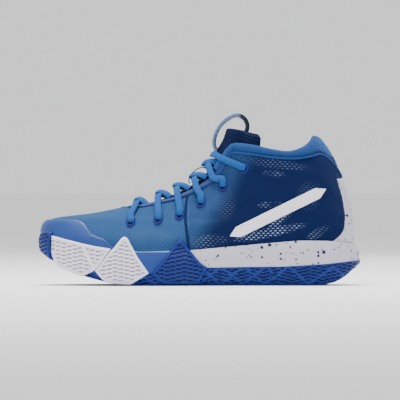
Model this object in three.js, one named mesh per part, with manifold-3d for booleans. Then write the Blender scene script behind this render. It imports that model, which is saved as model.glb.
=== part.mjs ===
// A basketball high top, left foot, built as an assembly. Millimetres, +Z up, toe towards -X.
// The outer side of the foot faces -Y. The origin is the centre of the footprint, on the ground.
import * as THREE from "three";
import { mergeVertices } from "three/addons/utils/BufferGeometryUtils.js";
import Module from "manifold-3d";

const wasm = await Module();
wasm.setup();

// ---- Driving dimensions ----
const SHOE_LENGTH = 305;
const GAP = 0.3; // left between pieces that touch
const UPPER_WALL = 3;
const RUBBER_WALL = 3.4; // outsole cup wall
const RUBBER_FLOOR = 5;
const WRAP_WALL = 2.4; // rubber panels laid over the side of the sole
const WRAP_GAP = 4 * GAP;
const SOLE_FRONT = -SHOE_LENGTH / 2 + WRAP_WALL + WRAP_GAP;
const SOLE_BACK = SHOE_LENGTH / 2;
const FILM = 1.2; // fused overlays
const TONGUE_TOP_INSET = 3.4;
const TONGUE_THICK = 4.6;
const COLLAR_OUT = 1.4;
const COLLAR_IN = 8.5;
const LACE_RADIUS = 2.3;
const LACE_SIDES = 8;
const TOE_BEND = 5; // the toe turns in by this much
const TOE_BEND_START = -57;
const ARCH_TUCK = 4; // the inner side of the waist is cut in by this much
const SEAM_X = -9; // where the vamp meets the rear quarters
const OUTSOLE_SPLIT_X = 33;
const OUTSOLE_GROOVE = 2.5;
const RING_STEPS = 20; // facets along one side of a ring
const UPPER_TOP = 0.925; // where the knit ends and the collar begins, on the last's scale below
const REACH = 240; // wider than the shoe, for cuts that go right through
const FAR = 200; // past the shoe's ends and top

// The last, as rings stacked from the feather line up to above the collar. front and back are
// the ring's ends in the XZ plane; half is its half width and sag its drop below the straight
// line between its ends, both at seven stations between the ends.
const LAST = [
  { at: 0, front: [-146, 41], back: [142, 32],
    half: [24, 44, 50, 43, 35.5, 35, 22.5], sag: [3.5, 9.5, 12, 11, 8, 4, 1] },
  { at: 0.1, front: [-148.5, 53], back: [145.5, 41],
    half: [21.5, 42, 48.5, 43, 36.5, 36, 23], sag: [2, 5, 6, 5, 3.5, 2, 0.5] },
  { at: 0.2, front: [-138, 62.5], back: [145.3, 49],
    half: [20, 32, 39.5, 40.5, 36, 35.5, 22], sag: [0, 0, 0, 0, 0, 0, 0] },
  { at: 0.33, front: [-93, 69], back: [144.6, 58],
    half: [14, 27.5, 35.4, 37, 36, 34.5, 21], sag: [0, 0, 0, 0, 0, 0, 0] },
  { at: 0.5, front: [-45.8, 80.5], back: [143, 70],
    half: [13.5, 23.6, 32, 35.5, 35, 32.5, 19.5], sag: [0, 0, 0, 0, 0, 0, 0] },
  { at: 0.7, front: [-7, 98], back: [137.5, 92],
    half: [12, 22, 30.5, 34, 34, 30, 18], sag: [0, 0, 0, 0, 0, 0, 0] },
  { at: 0.86, front: [12, 117], back: [129, 117],
    half: [12.5, 22, 29.5, 32.5, 32, 27, 15.5], sag: [0, 0, 1, 3, 4, 3, 1] },
  { at: 1, front: [24, 134], back: [112, 140.5],
    half: [12, 21.5, 28, 30.5, 29.5, 24, 13.5], sag: [0, 1, 4, 9, 12, 9, 3] },
  { at: 1.12, front: [29, 148], back: [104, 158],
    half: [12, 21, 27, 29.5, 28, 23, 13], sag: [0, 1, 4, 9, 12, 9, 3] },
];

// The sole: half widths at the same seven stations, and its two edge lines as [x, z].
const SOLE_HALF = [26, 47.5, 53.2, 47.5, 40.5, 40.5, 27];
const GROUND_LINE = [
  [-153, 35], [-146, 26], [-134, 18.5], [-111, 8.5], [-88, 2.6], [-66, 0], [-40, 0],
  [60, 0], [118, 0], [132, 2.4], [144, 9], [153, 18],
];
const TOP_LINE = [
  [-153, 50.5], [-137.7, 46.5], [-109, 39.4], [-83, 34.5], [-58, 31], [-7, 32.4],
  [60, 38.4], [97, 41.4], [127, 41], [153, 37.5],
];
const RUBBER_LINE = [
  [-153, 43], [-134, 27], [-111, 17], [-88, 12], [-66, 11], [-30, 12], [0, 16.5],
  [40, 17.2], [80, 17.6], [120, 20], [153, 23.5],
];
const EDGE_ROUND = 5; // how far the sole's bottom edge is drawn in
const TOP_TAPER = 3; // how far the sole's top edge leans in to the upper

// Eyelets on the outer side as [x, z]; the inner side mirrors them.
const EYELETS = [[-63.8, 60.5], [-38, 63], [-17.9, 67], [2.1, 78.5], [22.8, 94], [42.9, 110.5]];
const THROAT = [[-73, 0], [-70, 9], [-60, 14], [-30, 18.5], [10, 18], [34, 15]];

// ---- Curves ----
function hermite(a, b, c, d, u) {
  return b + 0.5 * u * (c - a + u * (2 * a - 5 * b + 4 * c - d + u * (3 * (b - c) + d - a)));
}

// Smooth value through equally spaced numbers that are 0 at both ends. odd mirrors with a sign.
function stations(values, u, odd) {
  const all = [0, ...values, 0];
  const sign = odd ? -1 : 1;
  const pick = (i) => {
    if (i < 0) return sign * all[-i];
    if (i >= all.length) return sign * all[2 * (all.length - 1) - i];
    return all[i];
  };
  const f = u * (all.length - 1);
  const i = Math.min(Math.floor(f), all.length - 2);
  return hermite(pick(i - 1), pick(i), pick(i + 1), pick(i + 2), f - i);
}

// Height of a line of [x, z] points at x, straight between them with the corners eased.
function lineAt(points, x) {
  const ease = 5;
  const plain = (at) => {
    const xi = THREE.MathUtils.clamp(at, points[0][0], points[points.length - 1][0]);
    let k = 0;
    while (k < points.length - 2 && points[k + 1][0] < xi) k += 1;
    const [x0, z0] = points[k];
    const [x1, z1] = points[k + 1];
    return z0 + ((z1 - z0) * (xi - x0)) / (x1 - x0);
  };
  return (plain(x - ease) + 2 * plain(x) + plain(x + ease)) / 4;
}

function ringAt(t) {
  let k = 0;
  while (k < LAST.length - 2 && LAST[k + 1].at < t) k += 1;
  const rows = [-1, 0, 1, 2].map((d) => LAST[THREE.MathUtils.clamp(k + d, 0, LAST.length - 1)]);
  const u = (t - rows[1].at) / (rows[2].at - rows[1].at);
  const mix = (read) => hermite(...rows.map(read), u);
  const mixAll = (key) => rows[1][key].map((_, i) => mix((r) => r[key][i]));
  return { front: mixAll("front"), back: mixAll("back"), half: mixAll("half"), sag: mixAll("sag") };
}

// How far the shoe's centre line stands off at x, and how far its inner side is cut in.
function centreShift(x) {
  const past = Math.max(0, (TOE_BEND_START - x) / (TOE_BEND_START - SOLE_FRONT));
  return TOE_BEND * past ** 1.6;
}
function archTuck(x) {
  return ARCH_TUCK * Math.exp(-(((x - 12) / 42) ** 2));
}

// A point of the last's surface. turn runs 0 at the front to 1 at the back; side is -1 or +1.
function lastPoint(t, turn, side) {
  const ring = ringAt(t);
  const s = (1 - Math.cos(Math.PI * turn)) / 2;
  const x = THREE.MathUtils.lerp(ring.front[0], ring.back[0], s);
  const chord = THREE.MathUtils.lerp(ring.front[1], ring.back[1], s);
  const tuck = side > 0 ? archTuck(x) * Math.max(0, 1 - t / 0.5) * Math.sin(Math.PI * turn) : 0;
  const y = side * (stations(ring.half, turn, true) - tuck) + centreShift(x);
  return new THREE.Vector3(x, y, chord - stations(ring.sag, turn, false));
}

// The unit normal out of the last's surface.
function lastNormal(t, turn, side) {
  const e = 0.004;
  const top = LAST[LAST.length - 1].at;
  const along = lastPoint(t, turn + e, side).sub(lastPoint(t, turn - e, side));
  const low = lastPoint(Math.max(t - e, 0), turn, side);
  const up = lastPoint(Math.min(t + e, top), turn, side).sub(low);
  const n = new THREE.Vector3().crossVectors(along, up).normalize();
  const core = lastPoint(t, 0.5, side).setY(0).add(new THREE.Vector3(0, 0, -8));
  return n.dot(low.sub(core)) < 0 ? n.negate() : n;
}

function lastOffset(t, turn, side, offset) {
  return lastPoint(t, turn, side).addScaledVector(lastNormal(t, turn, side), offset);
}

// A point off the side of the last at the given x and z, or off its top at the given x and y.
function solveOnLast(x, reached, side, offset) {
  let low = 0;
  let high = LAST[LAST.length - 1].at;
  const turnAt = (t) => {
    const ring = ringAt(t);
    const s = (x - ring.front[0]) / (ring.back[0] - ring.front[0]);
    return Math.acos(1 - 2 * THREE.MathUtils.clamp(s, 0, 1)) / Math.PI;
  };
  for (let i = 0; i < 30; i += 1) {
    const t = (low + high) / 2;
    if (reached(lastPoint(t, turnAt(t), side), ringAt(t).front[0])) high = t;
    else low = t;
  }
  return lastOffset(low, turnAt(low), side, offset);
}
const onSide = (x, z, side, offset) =>
  solveOnLast(x, (p, front) => front > x || p.z > z, side, offset);
const onTop = (x, y, offset) => {
  const side = y < 0 ? -1 : 1;
  return solveOnLast(x, (p, front) => front > x || side * p.y < Math.abs(y), side, offset);
};

// ---- Solids ----
function toSolid(geometry) {
  const bare = geometry.clone();
  bare.deleteAttribute("normal");
  bare.deleteAttribute("uv");
  const merged = mergeVertices(bare, 1e-4);
  return new wasm.Manifold(
    new wasm.Mesh({
      numProp: 3,
      vertProperties: merged.attributes.position.array,
      triVerts: new Uint32Array(merged.index.array),
    }),
  );
}

// A closed solid through rings of points. Each ring holds one side front to back, then the other.
function loft(rings) {
  const n = rings[0].length;
  const half = n / 2;
  const index = [];
  for (let r = 0; r + 1 < rings.length; r += 1) {
    for (let i = 0; i < n; i += 1) {
      const j = (i + 1) % n;
      const [a, b, c, d] = [r * n + i, r * n + j, (r + 1) * n + j, (r + 1) * n + i];
      index.push(a, b, c, a, c, d);
    }
  }
  const cap = (base, flip) => {
    for (let i = 0; i < half; i += 1) {
      const [a, b] = [base + i, base + i + 1];
      const [c, d] = [base + ((n - i) % n), base + n - i - 1];
      const tris = [];
      if (i > 0) tris.push([a, b, c]);
      if (i < half - 1) tris.push([b, d, c]);
      for (const t of tris) index.push(...(flip ? [t[0], t[2], t[1]] : t));
    }
  };
  cap(0, true);
  cap((rings.length - 1) * n, false);
  const geometry = new THREE.BufferGeometry();
  const numbers = rings.flat().flatMap((p) => [p.x, p.y, p.z]);
  geometry.setAttribute("position", new THREE.Float32BufferAttribute(numbers, 3));
  geometry.setIndex(index);
  return toSolid(geometry);
}

// One ring: the outer side (-Y) front to back, then the inner side back to front.
function ringPoints(point) {
  const ring = [];
  for (let i = 0; i < RING_STEPS; i += 1) ring.push(point(i / RING_STEPS, -1));
  for (let i = RING_STEPS; i > 0; i -= 1) ring.push(point(i / RING_STEPS, 1));
  return ring;
}

// The last between two heights, grown by offset. lift and drop carry its ends on straight.
function lastSolid(offset, t0, t1, { lift = 0, drop = 0, steps = 18 } = {}) {
  const ring = (t, dz) =>
    ringPoints((turn, side) => lastOffset(t, turn, side, offset).add(new THREE.Vector3(0, 0, dz)));
  const rings = drop ? [ring(t0, -drop)] : [];
  const count = Math.max(1, Math.round(steps * (t1 - t0)));
  for (let i = 0; i <= count; i += 1) rings.push(ring(THREE.MathUtils.lerp(t0, t1, i / count), 0));
  if (lift) rings.push(ring(t1, lift));
  return loft(rings);
}

// The sole's outline at a height: k is 0 on the ground line and 1 on the top line.
function solePoint(turn, side, k, offset) {
  const inset =
    EDGE_ROUND * THREE.MathUtils.clamp(1 - k / 0.28, 0, 1) ** 2 +
    TOP_TAPER * THREE.MathUtils.clamp((k - 0.55) / 0.45, 0, 1) ** 2;
  const at = (u) => {
    const s = (1 - Math.cos(Math.PI * u)) / 2;
    const x = THREE.MathUtils.lerp(SOLE_FRONT, SOLE_BACK, s) + inset * Math.cos(Math.PI * u);
    const tuck = side > 0 ? archTuck(x) * Math.sin(Math.PI * u) : 0;
    const half = stations(SOLE_HALF, u, true) - tuck - inset * Math.sin(Math.PI * u);
    return new THREE.Vector2(x, side * half + centreShift(x));
  };
  const e = 0.004;
  const along = at(turn + e).sub(at(turn - e)).normalize();
  return at(turn).add(new THREE.Vector2(along.y, -along.x).multiplyScalar(-side * offset));
}

// The sole between two height lines, each a function of x, grown sideways by offset.
function soleSolid(offset, low, high, levels = 5) {
  const rings = [];
  for (let j = 0; j <= levels; j += 1) {
    rings.push(
      ringPoints((turn, side) => {
        const x = THREE.MathUtils.lerp(SOLE_FRONT, SOLE_BACK, (1 - Math.cos(Math.PI * turn)) / 2);
        const z = THREE.MathUtils.lerp(low(x), high(x), j / levels);
        const ground = lineAt(GROUND_LINE, x);
        const p = solePoint(turn, side, (z - ground) / (lineAt(TOP_LINE, x) - ground), offset);
        return new THREE.Vector3(p.x, p.y, z);
      }),
    );
  }
  return loft(rings);
}

// A flat outline extruded: on one side of the shoe as [x, z], or upright as [x, y].
function outline(points, rounded) {
  if (!rounded) return new THREE.Shape(points.map(([a, b]) => new THREE.Vector2(a, b)));
  const curve = new THREE.CatmullRomCurve3(
    points.map(([a, b]) => new THREE.Vector3(a, b, 0)), true, "centripetal");
  return new THREE.Shape(curve.getPoints(points.length * 4).slice(0, -1)
    .map((p) => new THREE.Vector2(p.x, p.y)));
}
function sidePrism(points, side, { rounded = false, reach = 90 } = {}) {
  const shape = outline(points, rounded);
  const g = new THREE.ExtrudeGeometry(shape, { depth: reach, bevelEnabled: false, steps: 1 });
  g.rotateX(Math.PI / 2);
  if (side > 0) g.translate(0, reach, 0);
  if (side === 0) g.translate(0, reach / 2, 0);
  return toSolid(g);
}
function uprightPrism(points, z0, z1, rounded = false) {
  const shape = outline(points, rounded);
  const g = new THREE.ExtrudeGeometry(shape, { depth: z1 - z0, bevelEnabled: false, steps: 1 });
  g.translate(0, 0, z0);
  return toSolid(g);
}

// An outline's points grown about a place on the x axis.
function grown(points, about, alongX, alongY) {
  return points.map(([x, y]) => [about + (x - about) * alongX, y * alongY]);
}

// A half outline of [x, y] points, closed by its mirror image. The first point lies on the axis.
function mirrored(points) {
  return [...points, ...points.slice(1).reverse().map(([x, y]) => [x, -y])];
}

const root = new THREE.Group();
function add(name, solid, color, roughness = 0.8, metalness = 0) {
  const mesh = solid.getMesh();
  const g = new THREE.BufferGeometry();
  g.setAttribute("position", new THREE.BufferAttribute(new Float32Array(mesh.vertProperties), 3));
  g.setIndex(new THREE.BufferAttribute(new Uint32Array(mesh.triVerts), 1));
  g.computeVertexNormals();
  const item = new THREE.Mesh(g, new THREE.MeshStandardMaterial({ color, roughness, metalness }));
  item.name = name;
  root.add(item);
}

// The biggest body of a solid that a cut may have left crumbs on.
function mainBody(solid) {
  return solid.decompose().reduce((a, b) => (b.volume() > a.volume() ? b : a));
}

const BLUE = 0x2b66c4;
const DEEP_BLUE = 0x173f8f;
const RUBBER_BLUE = 0x1c3fae;
const WHITE = 0xe9e6ee;
const LACE_BLUE = 0x2f7fd0;

const SIDES = [["outer", -1], ["inner", 1]];
const groundAt = (x) => lineAt(GROUND_LINE, x);
const topAt = (x) => lineAt(TOP_LINE, x);
const rubberAt = (x) => lineAt(RUBBER_LINE, x);

// ---- Upper: vamp and rear quarters, open at the sole, the throat and the ankle ----
const THROAT_LOW = 52; // the throat's cut begins above the toe box
const throatCut = uprightPrism(mirrored(THROAT), THROAT_LOW, FAR);
const upperWall = lastSolid(0, 0, UPPER_TOP)
  .subtract(lastSolid(-UPPER_WALL, 0, UPPER_TOP, { lift: 12, drop: 12 }))
  .subtract(throatCut);
const seamLine = (shift) => [[SEAM_X + shift, -20], [SEAM_X - 4 + shift, 60], [SEAM_X + 6 + shift, FAR]];
const seamFront = sidePrism([[-FAR, -20], ...seamLine(0), [-FAR, FAR]], 0, { reach: REACH });
const seamBack = sidePrism([...seamLine(GAP).reverse(), [FAR, -20], [FAR, FAR]].reverse(), 0,
  { reach: REACH });
add("vamp", mainBody(upperWall.intersect(seamFront)), BLUE);
add("rear_quarters", mainBody(upperWall.intersect(seamBack)), DEEP_BLUE);

// ---- Collar, lining, tongue ----
const LINING_WALL = 2;
const LINING_LOW = 0.5;
const LINING_HALF_GAP = 31; // the lining stops short of the tongue
const PAD_END = 15.4; // the pad's two ends stand this far from the centre line
const ankleThroat = (half) => uprightPrism([[0, half], [60, half], [60, -half], [0, -half]], 90, FAR);
add("collar_pad", mainBody(lastSolid(COLLAR_OUT, 0.93, 1)
  .subtract(lastSolid(-COLLAR_IN, 0.9, 1, { lift: 12, drop: 6 }))
  .subtract(ankleThroat(PAD_END))), BLUE, 0.9);
const liningOffset = -UPPER_WALL - GAP;
add("collar_lining", mainBody(lastSolid(liningOffset, LINING_LOW, 0.92)
  .subtract(lastSolid(liningOffset - LINING_WALL, LINING_LOW, 0.92, { lift: 8, drop: 8 }))
  .subtract(uprightPrism([[-90, LINING_HALF_GAP], [44, LINING_HALF_GAP], [44, -LINING_HALF_GAP],
    [-90, -LINING_HALF_GAP]], 40, FAR))), DEEP_BLUE, 0.9);

const TONGUE_PLAN = [[-82, 0], [-79, 14], [-60, 19], [-20, 22], [12, 22], [30, 20], [46, 21],
  [46, -21], [30, -20], [12, -22], [-20, -22], [-60, -19], [-79, -14]];
const TONGUE_SIDE = [[-90, 60], [60, 60], [60, 137], [48, 143], [36, 147], [24, 150], [-90, 150]];
const TONGUE_SPAN = [0.2, 1.11];
const tongueBlank = lastSolid(-TONGUE_TOP_INSET, ...TONGUE_SPAN)
  .subtract(lastSolid(-TONGUE_TOP_INSET - TONGUE_THICK, ...TONGUE_SPAN, { lift: 8, drop: 8 }));
const padRoom = lastSolid(COLLAR_OUT + GAP, 0.9, 1, { lift: 3, drop: 2 })
  .subtract(lastSolid(-COLLAR_IN - GAP, 0.88, 1, { lift: 14, drop: 8 }))
  .subtract(ankleThroat(PAD_END - GAP));
add("tongue", mainBody(tongueBlank
  .intersect(uprightPrism(TONGUE_PLAN, 60, FAR, true))
  .intersect(sidePrism(TONGUE_SIDE, 0, { reach: REACH }))
  .subtract(padRoom)), BLUE, 0.9);

// ---- Footbed ----
const BOARD_TOP = 0.012;
add("strobel_board", lastSolid(liningOffset, 0, BOARD_TOP, { steps: 90 }), 0xd8d4c8, 0.95);
add("sockliner", lastSolid(liningOffset - 0.6, BOARD_TOP + 0.004, 0.05, { steps: 60 }), DEEP_BLUE,
  0.95);

// ---- Midsole with its heel cushion and shank ----
const SHANK_PLAN = [[-22, 13], [0, 14], [62, 14], [62, -14], [0, -14], [-22, -13]];
const SHANK_LOW = RUBBER_FLOOR + 2 * GAP;
const SHANK_HIGH = RUBBER_FLOOR + 2.4;
const CUSHION_PLAN = [[88, 0], [91, 14], [104, 19], [120, 14], [127, 0], [120, -14], [104, -19],
  [91, -14]];
const CUSHION_LOW = 15;
const CUSHION_HIGH = 26;
const footRoom = lastSolid(GAP, 0, 1, { drop: GAP, lift: 20 });
const cushionPocket = uprightPrism(grown(CUSHION_PLAN, 108, 1.03, 1.03), CUSHION_LOW - GAP, 45, true);
const shankPocket = uprightPrism(grown(SHANK_PLAN, 20, 1.01, 1.03), 3, SHANK_HIGH + GAP);
const core = soleSolid(-RUBBER_WALL - GAP, (x) => groundAt(x) + RUBBER_FLOOR + GAP,
  (x) => rubberAt(x) + 4);
const band = soleSolid(0, (x) => rubberAt(x) + GAP, topAt);
add("midsole", mainBody(band.add(core).subtract(footRoom).subtract(cushionPocket)
  .subtract(shankPocket)), WHITE, 0.6);
add("heel_cushion", uprightPrism(CUSHION_PLAN, CUSHION_LOW, CUSHION_HIGH, true), 0x9fb6d6, 0.3);
add("shank_plate", uprightPrism(SHANK_PLAN, SHANK_LOW, SHANK_HIGH), 0x222428, 0.4);

// ---- Outsole in two halves, with a groove between them at the ground ----
const GROOVE_TOP = 6;
const outsole = soleSolid(0, groundAt, rubberAt)
  .subtract(soleSolid(-RUBBER_WALL, (x) => groundAt(x) + RUBBER_FLOOR, (x) => rubberAt(x) + 6));
const frontHalf = sidePrism([[-FAR, -10], [OUTSOLE_SPLIT_X - OUTSOLE_GROOVE, -10],
  [OUTSOLE_SPLIT_X - GAP, GROOVE_TOP], [OUTSOLE_SPLIT_X - GAP, 60], [-FAR, 60]], 0, { reach: REACH });
const backHalf = sidePrism([[FAR, -10], [FAR, 60], [OUTSOLE_SPLIT_X, 60], [OUTSOLE_SPLIT_X, GROOVE_TOP],
  [OUTSOLE_SPLIT_X + OUTSOLE_GROOVE, -10]], 0, { reach: REACH });
add("forefoot_outsole", mainBody(outsole.intersect(frontHalf)), RUBBER_BLUE, 0.6);
add("heel_outsole", mainBody(outsole.intersect(backHalf)), RUBBER_BLUE, 0.6);

// ---- Rubber panels over the side of the sole ----
const WRAP_LEVELS = 10;
const WRAP_TOP = 0.34; // how far up the last the peaks may reach
const bodyAt = (offset, grow) => soleSolid(offset, (x) => groundAt(x) + 1 - grow,
  (x) => topAt(x) + grow * GAP, WRAP_LEVELS).add(lastSolid(offset, 0, WRAP_TOP));
const wrapBlank = bodyAt(WRAP_GAP + WRAP_WALL, 0).subtract(bodyAt(WRAP_GAP, 1));
const PANELS = [
  ["front_panel", WHITE, [[-137.2, 10], [-137.6, 40], [-136, 46], [-109, 39.2], [-84.5, 34], [-106, 0],
    [-130, 0]]],
  ["white_peak", WHITE, [[-96, 12], [-75, 30], [-69.8, 46.2], [-62, 43], [-54, 27], [-47.5, 12],
    [-63, -2], [-84, -2]]],
  ["blue_peak", RUBBER_BLUE, [[-43.5, 11], [-30, 28], [-18.5, 43.5], [-11.5, 38], [-1, 22],
    [7, 17.2], [-6, -2], [-34, -2]]],
];
const BUMPER = [[-170, 10], [-138, 10], [-138.4, 47], [-152, 52], [-170, 52]];
for (const [label, side] of SIDES) {
  for (const [name, color, points] of PANELS) {
    add(`${name}_${label}`, mainBody(wrapBlank.intersect(sidePrism(points, side))), color, 0.6);
  }
}
add("toe_bumper", mainBody(wrapBlank.intersect(sidePrism(BUMPER, 0, { reach: REACH }))), RUBBER_BLUE,
  0.6);

// ---- Overlays on the upper ----
const COUNTER = [[126, 40], [138, 46], [142, 58], [138.5, 80], [131, 99.5], [160, 99.5], [160, 20],
  [126, 20]];
const TOE_CAP = [[-160, 53.5], [-152, 53.2], [-138, 47.6], [-109, 40.3], [-84, 35], [-79, 36],
  [-87, 46], [-96, 49], [-104, 54], [-108, 62], [-116, 70], [-130, 80], [-160, 80]];
const EYESTAY = [[-79, 68], [-72, 58], [-66, 54.5], [-60, 55], [-51, 61], [-42, 57.5], [-35, 57.5],
  [-27, 65], [-21, 61], [-14, 62], [-8, 71], [0, 72.5], [7, 76], [13, 85], [20, 87.5], [28, 91],
  [32, 100], [40, 104], [48, 107], [50, 115], [40, 122], [30, 150], [-79, 150]];
const MARK = [[28, 50], [40, 41.5], [52, 44], [118, 84], [122, 92], [110, 92.5], [42, 61]];
const film = lastSolid(GAP + FILM, 0, 0.92)
  .subtract(lastSolid(GAP, 0, 0.92, { lift: 10, drop: 10 }))
  .subtract(soleSolid(6, (x) => groundAt(x) - 5, (x) => topAt(x) + 0.5));
add("heel_counter", mainBody(film.intersect(sidePrism(COUNTER, 0, { reach: REACH }))), WHITE, 0.5);
add("toe_cap", mainBody(film.intersect(sidePrism(TOE_CAP, 0, { reach: REACH }))), BLUE, 0.45);

const ankleCut = uprightPrism(mirrored([...THROAT.slice(0, -1), [80, 12]]), THROAT_LOW, FAR);
const frontSlit = uprightPrism([[-120, 4], [-77, 4], [-77, -4], [-120, -4]], 40, 120);
const flap = film.subtract(throatCut).subtract(ankleCut).subtract(frontSlit);
for (const [label, side] of SIDES) {
  add(`eyestay_${label}`, mainBody(flap.intersect(sidePrism(EYESTAY, side))), BLUE, 0.6);
  add(`side_mark_${label}`, mainBody(film.intersect(sidePrism(MARK, side))), WHITE, 0.4);
}

// ---- Laces: each pass leaves an eyelet, crosses the tongue and tucks under the other edge ----
function tube(points, radius, steps, sides = LACE_SIDES) {
  const path = new THREE.CatmullRomCurve3(points, false, "centripetal");
  const section = new THREE.Shape();
  for (let i = 0; i < sides; i += 1) {
    const a = (2 * Math.PI * i) / sides;
    const [x, y] = [radius * Math.cos(a), radius * Math.sin(a)];
    if (i === 0) section.moveTo(x, y);
    else section.lineTo(x, y);
  }
  section.closePath();
  return toSolid(new THREE.ExtrudeGeometry(section, {
    steps, extrudePath: path, bevelEnabled: false, curveSegments: 1 }));
}

const LACE_LIFT = GAP + FILM + GAP + LACE_RADIUS;
const LACE_REST = LACE_RADIUS + GAP - TONGUE_TOP_INSET; // lying on the tongue
const SHOULDERS = [-60, -38, -19, -1, 15]; // x where each pass goes over the throat's edge
const CROSSINGS = [-56, -36, -20, -4, 8]; // x on the centre line
const TUCKS = [-49, -27, -9, 7, 17]; // x where it goes under the other edge
SHOULDERS.forEach((shoulder, i) => {
  for (const [label, side] of SIDES) {
    const [x, z] = EYELETS[i];
    const low = side < 0; // the outer pass lies under the inner one
    const points = [
      onSide(x, z, side, LACE_LIFT), onSide(x + 0.2, z + 5, side, LACE_LIFT + 0.3),
      onTop(shoulder, side * 21, LACE_LIFT + 0.4),
      onTop((shoulder + CROSSINGS[i]) / 2, side * 12, low ? LACE_LIFT - 0.4 : LACE_LIFT + 1.6),
      onTop(CROSSINGS[i], 0, low ? LACE_REST + 0.3 : LACE_LIFT + 2.6),
      onTop((CROSSINGS[i] + TUCKS[i]) / 2, -side * 8, low ? LACE_REST : LACE_LIFT - 1.4),
      onTop(TUCKS[i], -side * 13.4, LACE_REST + 0.1),
    ];
    add(`lace_pass_${i + 1}_${label}`, tube(points, LACE_RADIUS, 14), LACE_BLUE, 0.85);
  }
});
const [topX, topZ] = EYELETS[EYELETS.length - 1];
const topHalf = [onSide(topX, topZ, -1, LACE_LIFT), onSide(topX - 8, topZ + 3.2, -1, LACE_LIFT + 0.5),
  onSide(topX - 18, topZ + 7, -1, LACE_LIFT + 0.6), onTop(17.5, -9, LACE_LIFT + 0.6)];
const topOther = topHalf.map((p) => new THREE.Vector3(p.x, -p.y, p.z)).reverse();
add("lace_top_pass", tube([...topHalf, onTop(15.5, 0, LACE_LIFT + 0.6), ...topOther], LACE_RADIUS, 26),
  LACE_BLUE, 0.85);

// ---- Pull loop on the tongue ----
const LOOP_WIDTH = 13;
const LOOP_THICK = 1.8;
const LOOP_STEPS = 28;
const LOOP_LINE = [[16.6, 127], [14.6, 133], [16.4, 143], [21.5, 152], [29, 158.5], [36.5, 160.4],
  [43.5, 157.5], [46.2, 151], [45, 144.5], [41.5, 138.5]];
function ribbon(points, thick, steps) {
  const curve = new THREE.CatmullRomCurve3(points.map(([x, z]) => new THREE.Vector3(x, z, 0)),
    false, "centripetal");
  const edge = (sign) => Array.from({ length: steps + 1 }, (_, i) => {
    const p = curve.getPoint(i / steps);
    const d = curve.getTangent(i / steps);
    return [p.x - sign * d.y * (thick / 2), p.y + sign * d.x * (thick / 2)];
  });
  return [...edge(1), ...edge(-1).reverse()];
}
add("tongue_pull_loop",
  sidePrism(ribbon(LOOP_LINE, LOOP_THICK, LOOP_STEPS), 0, { reach: LOOP_WIDTH }), BLUE, 0.8);

export default root;
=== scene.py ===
"""A basketball high top for the left foot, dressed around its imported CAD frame.

Lengths in the shape tables are millimetres, as on a last drawing; meshes are in metres.
"""
import logging
import math
from dataclasses import dataclass
from enum import Enum
from typing import Callable, Sequence

import bpy
import numpy as np
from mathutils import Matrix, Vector


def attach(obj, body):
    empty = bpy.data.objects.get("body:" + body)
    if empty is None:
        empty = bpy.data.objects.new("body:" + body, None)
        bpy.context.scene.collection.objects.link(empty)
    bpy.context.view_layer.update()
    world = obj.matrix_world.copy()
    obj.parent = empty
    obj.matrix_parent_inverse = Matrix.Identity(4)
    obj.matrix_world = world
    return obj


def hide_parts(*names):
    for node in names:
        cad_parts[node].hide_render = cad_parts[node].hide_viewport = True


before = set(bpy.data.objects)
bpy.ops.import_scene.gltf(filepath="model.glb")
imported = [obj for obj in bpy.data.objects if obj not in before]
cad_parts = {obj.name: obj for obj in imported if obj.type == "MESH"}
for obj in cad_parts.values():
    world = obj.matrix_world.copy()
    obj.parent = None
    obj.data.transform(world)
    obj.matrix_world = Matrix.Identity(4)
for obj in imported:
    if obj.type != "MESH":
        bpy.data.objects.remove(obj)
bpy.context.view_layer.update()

log = logging.getLogger("high_top")
MM = 0.001
Array = np.ndarray
Color = tuple[float, float, float]
Line = tuple[tuple[float, float], ...]


class Side(Enum):
    """The two sides of the shoe."""

    OUTER = -1
    INNER = 1

    @property
    def label(self) -> str:
        """The side's name as the nodes spell it."""
        return self.name.lower()


# ---------------------------------------------------------------- shape tables


@dataclass(frozen=True)
class Ring:
    """One ring of the last: its ends in the XZ plane, half widths and drops below its chord."""

    at: float
    front: tuple[float, float]
    back: tuple[float, float]
    half: tuple[float, ...]
    sag: tuple[float, ...] = (0, 0, 0, 0, 0, 0, 0)


RINGS = (
    Ring(0, (-146, 41), (142, 32), (24, 44, 50, 43, 35.5, 35, 22.5), (3.5, 9.5, 12, 11, 8, 4, 1)),
    Ring(0.1, (-148.5, 53), (145.5, 41), (21.5, 42, 48.5, 43, 36.5, 36, 23), (2, 5, 6, 5, 3.5, 2, 0.5)),
    Ring(0.2, (-138, 62.5), (145.3, 49), (20, 32, 39.5, 40.5, 36, 35.5, 22)),
    Ring(0.33, (-93, 69), (144.6, 58), (14, 27.5, 35.4, 37, 36, 34.5, 21)),
    Ring(0.5, (-45.8, 80.5), (143, 70), (13.5, 23.6, 32, 35.5, 35, 32.5, 19.5)),
    Ring(0.7, (-7, 98), (137.5, 92), (12, 22, 30.5, 34, 34, 30, 18)),
    Ring(0.86, (12, 117), (129, 117), (12.5, 22, 29.5, 32.5, 32, 27, 15.5), (0, 0, 1, 3, 4, 3, 1)),
    Ring(1, (24, 134), (112, 140.5), (12, 21.5, 28, 30.5, 29.5, 24, 13.5), (0, 1, 4, 9, 12, 9, 3)),
    Ring(1.12, (29, 148), (104, 158), (12, 21, 27, 29.5, 28, 23, 13), (0, 1, 4, 9, 12, 9, 3)),
)
SOLE_HALF = (26, 47.5, 53.2, 47.5, 40.5, 40.5, 27)
SOLE_FRONT, SOLE_BACK = -148.9, 152.5
GROUND_LINE = (
    (-153, 35), (-146, 26), (-134, 18.5), (-111, 8.5), (-88, 2.6), (-66, 0), (-40, 0),
    (60, 0), (118, 0), (132, 2.4), (144, 9), (153, 18),
)
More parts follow.
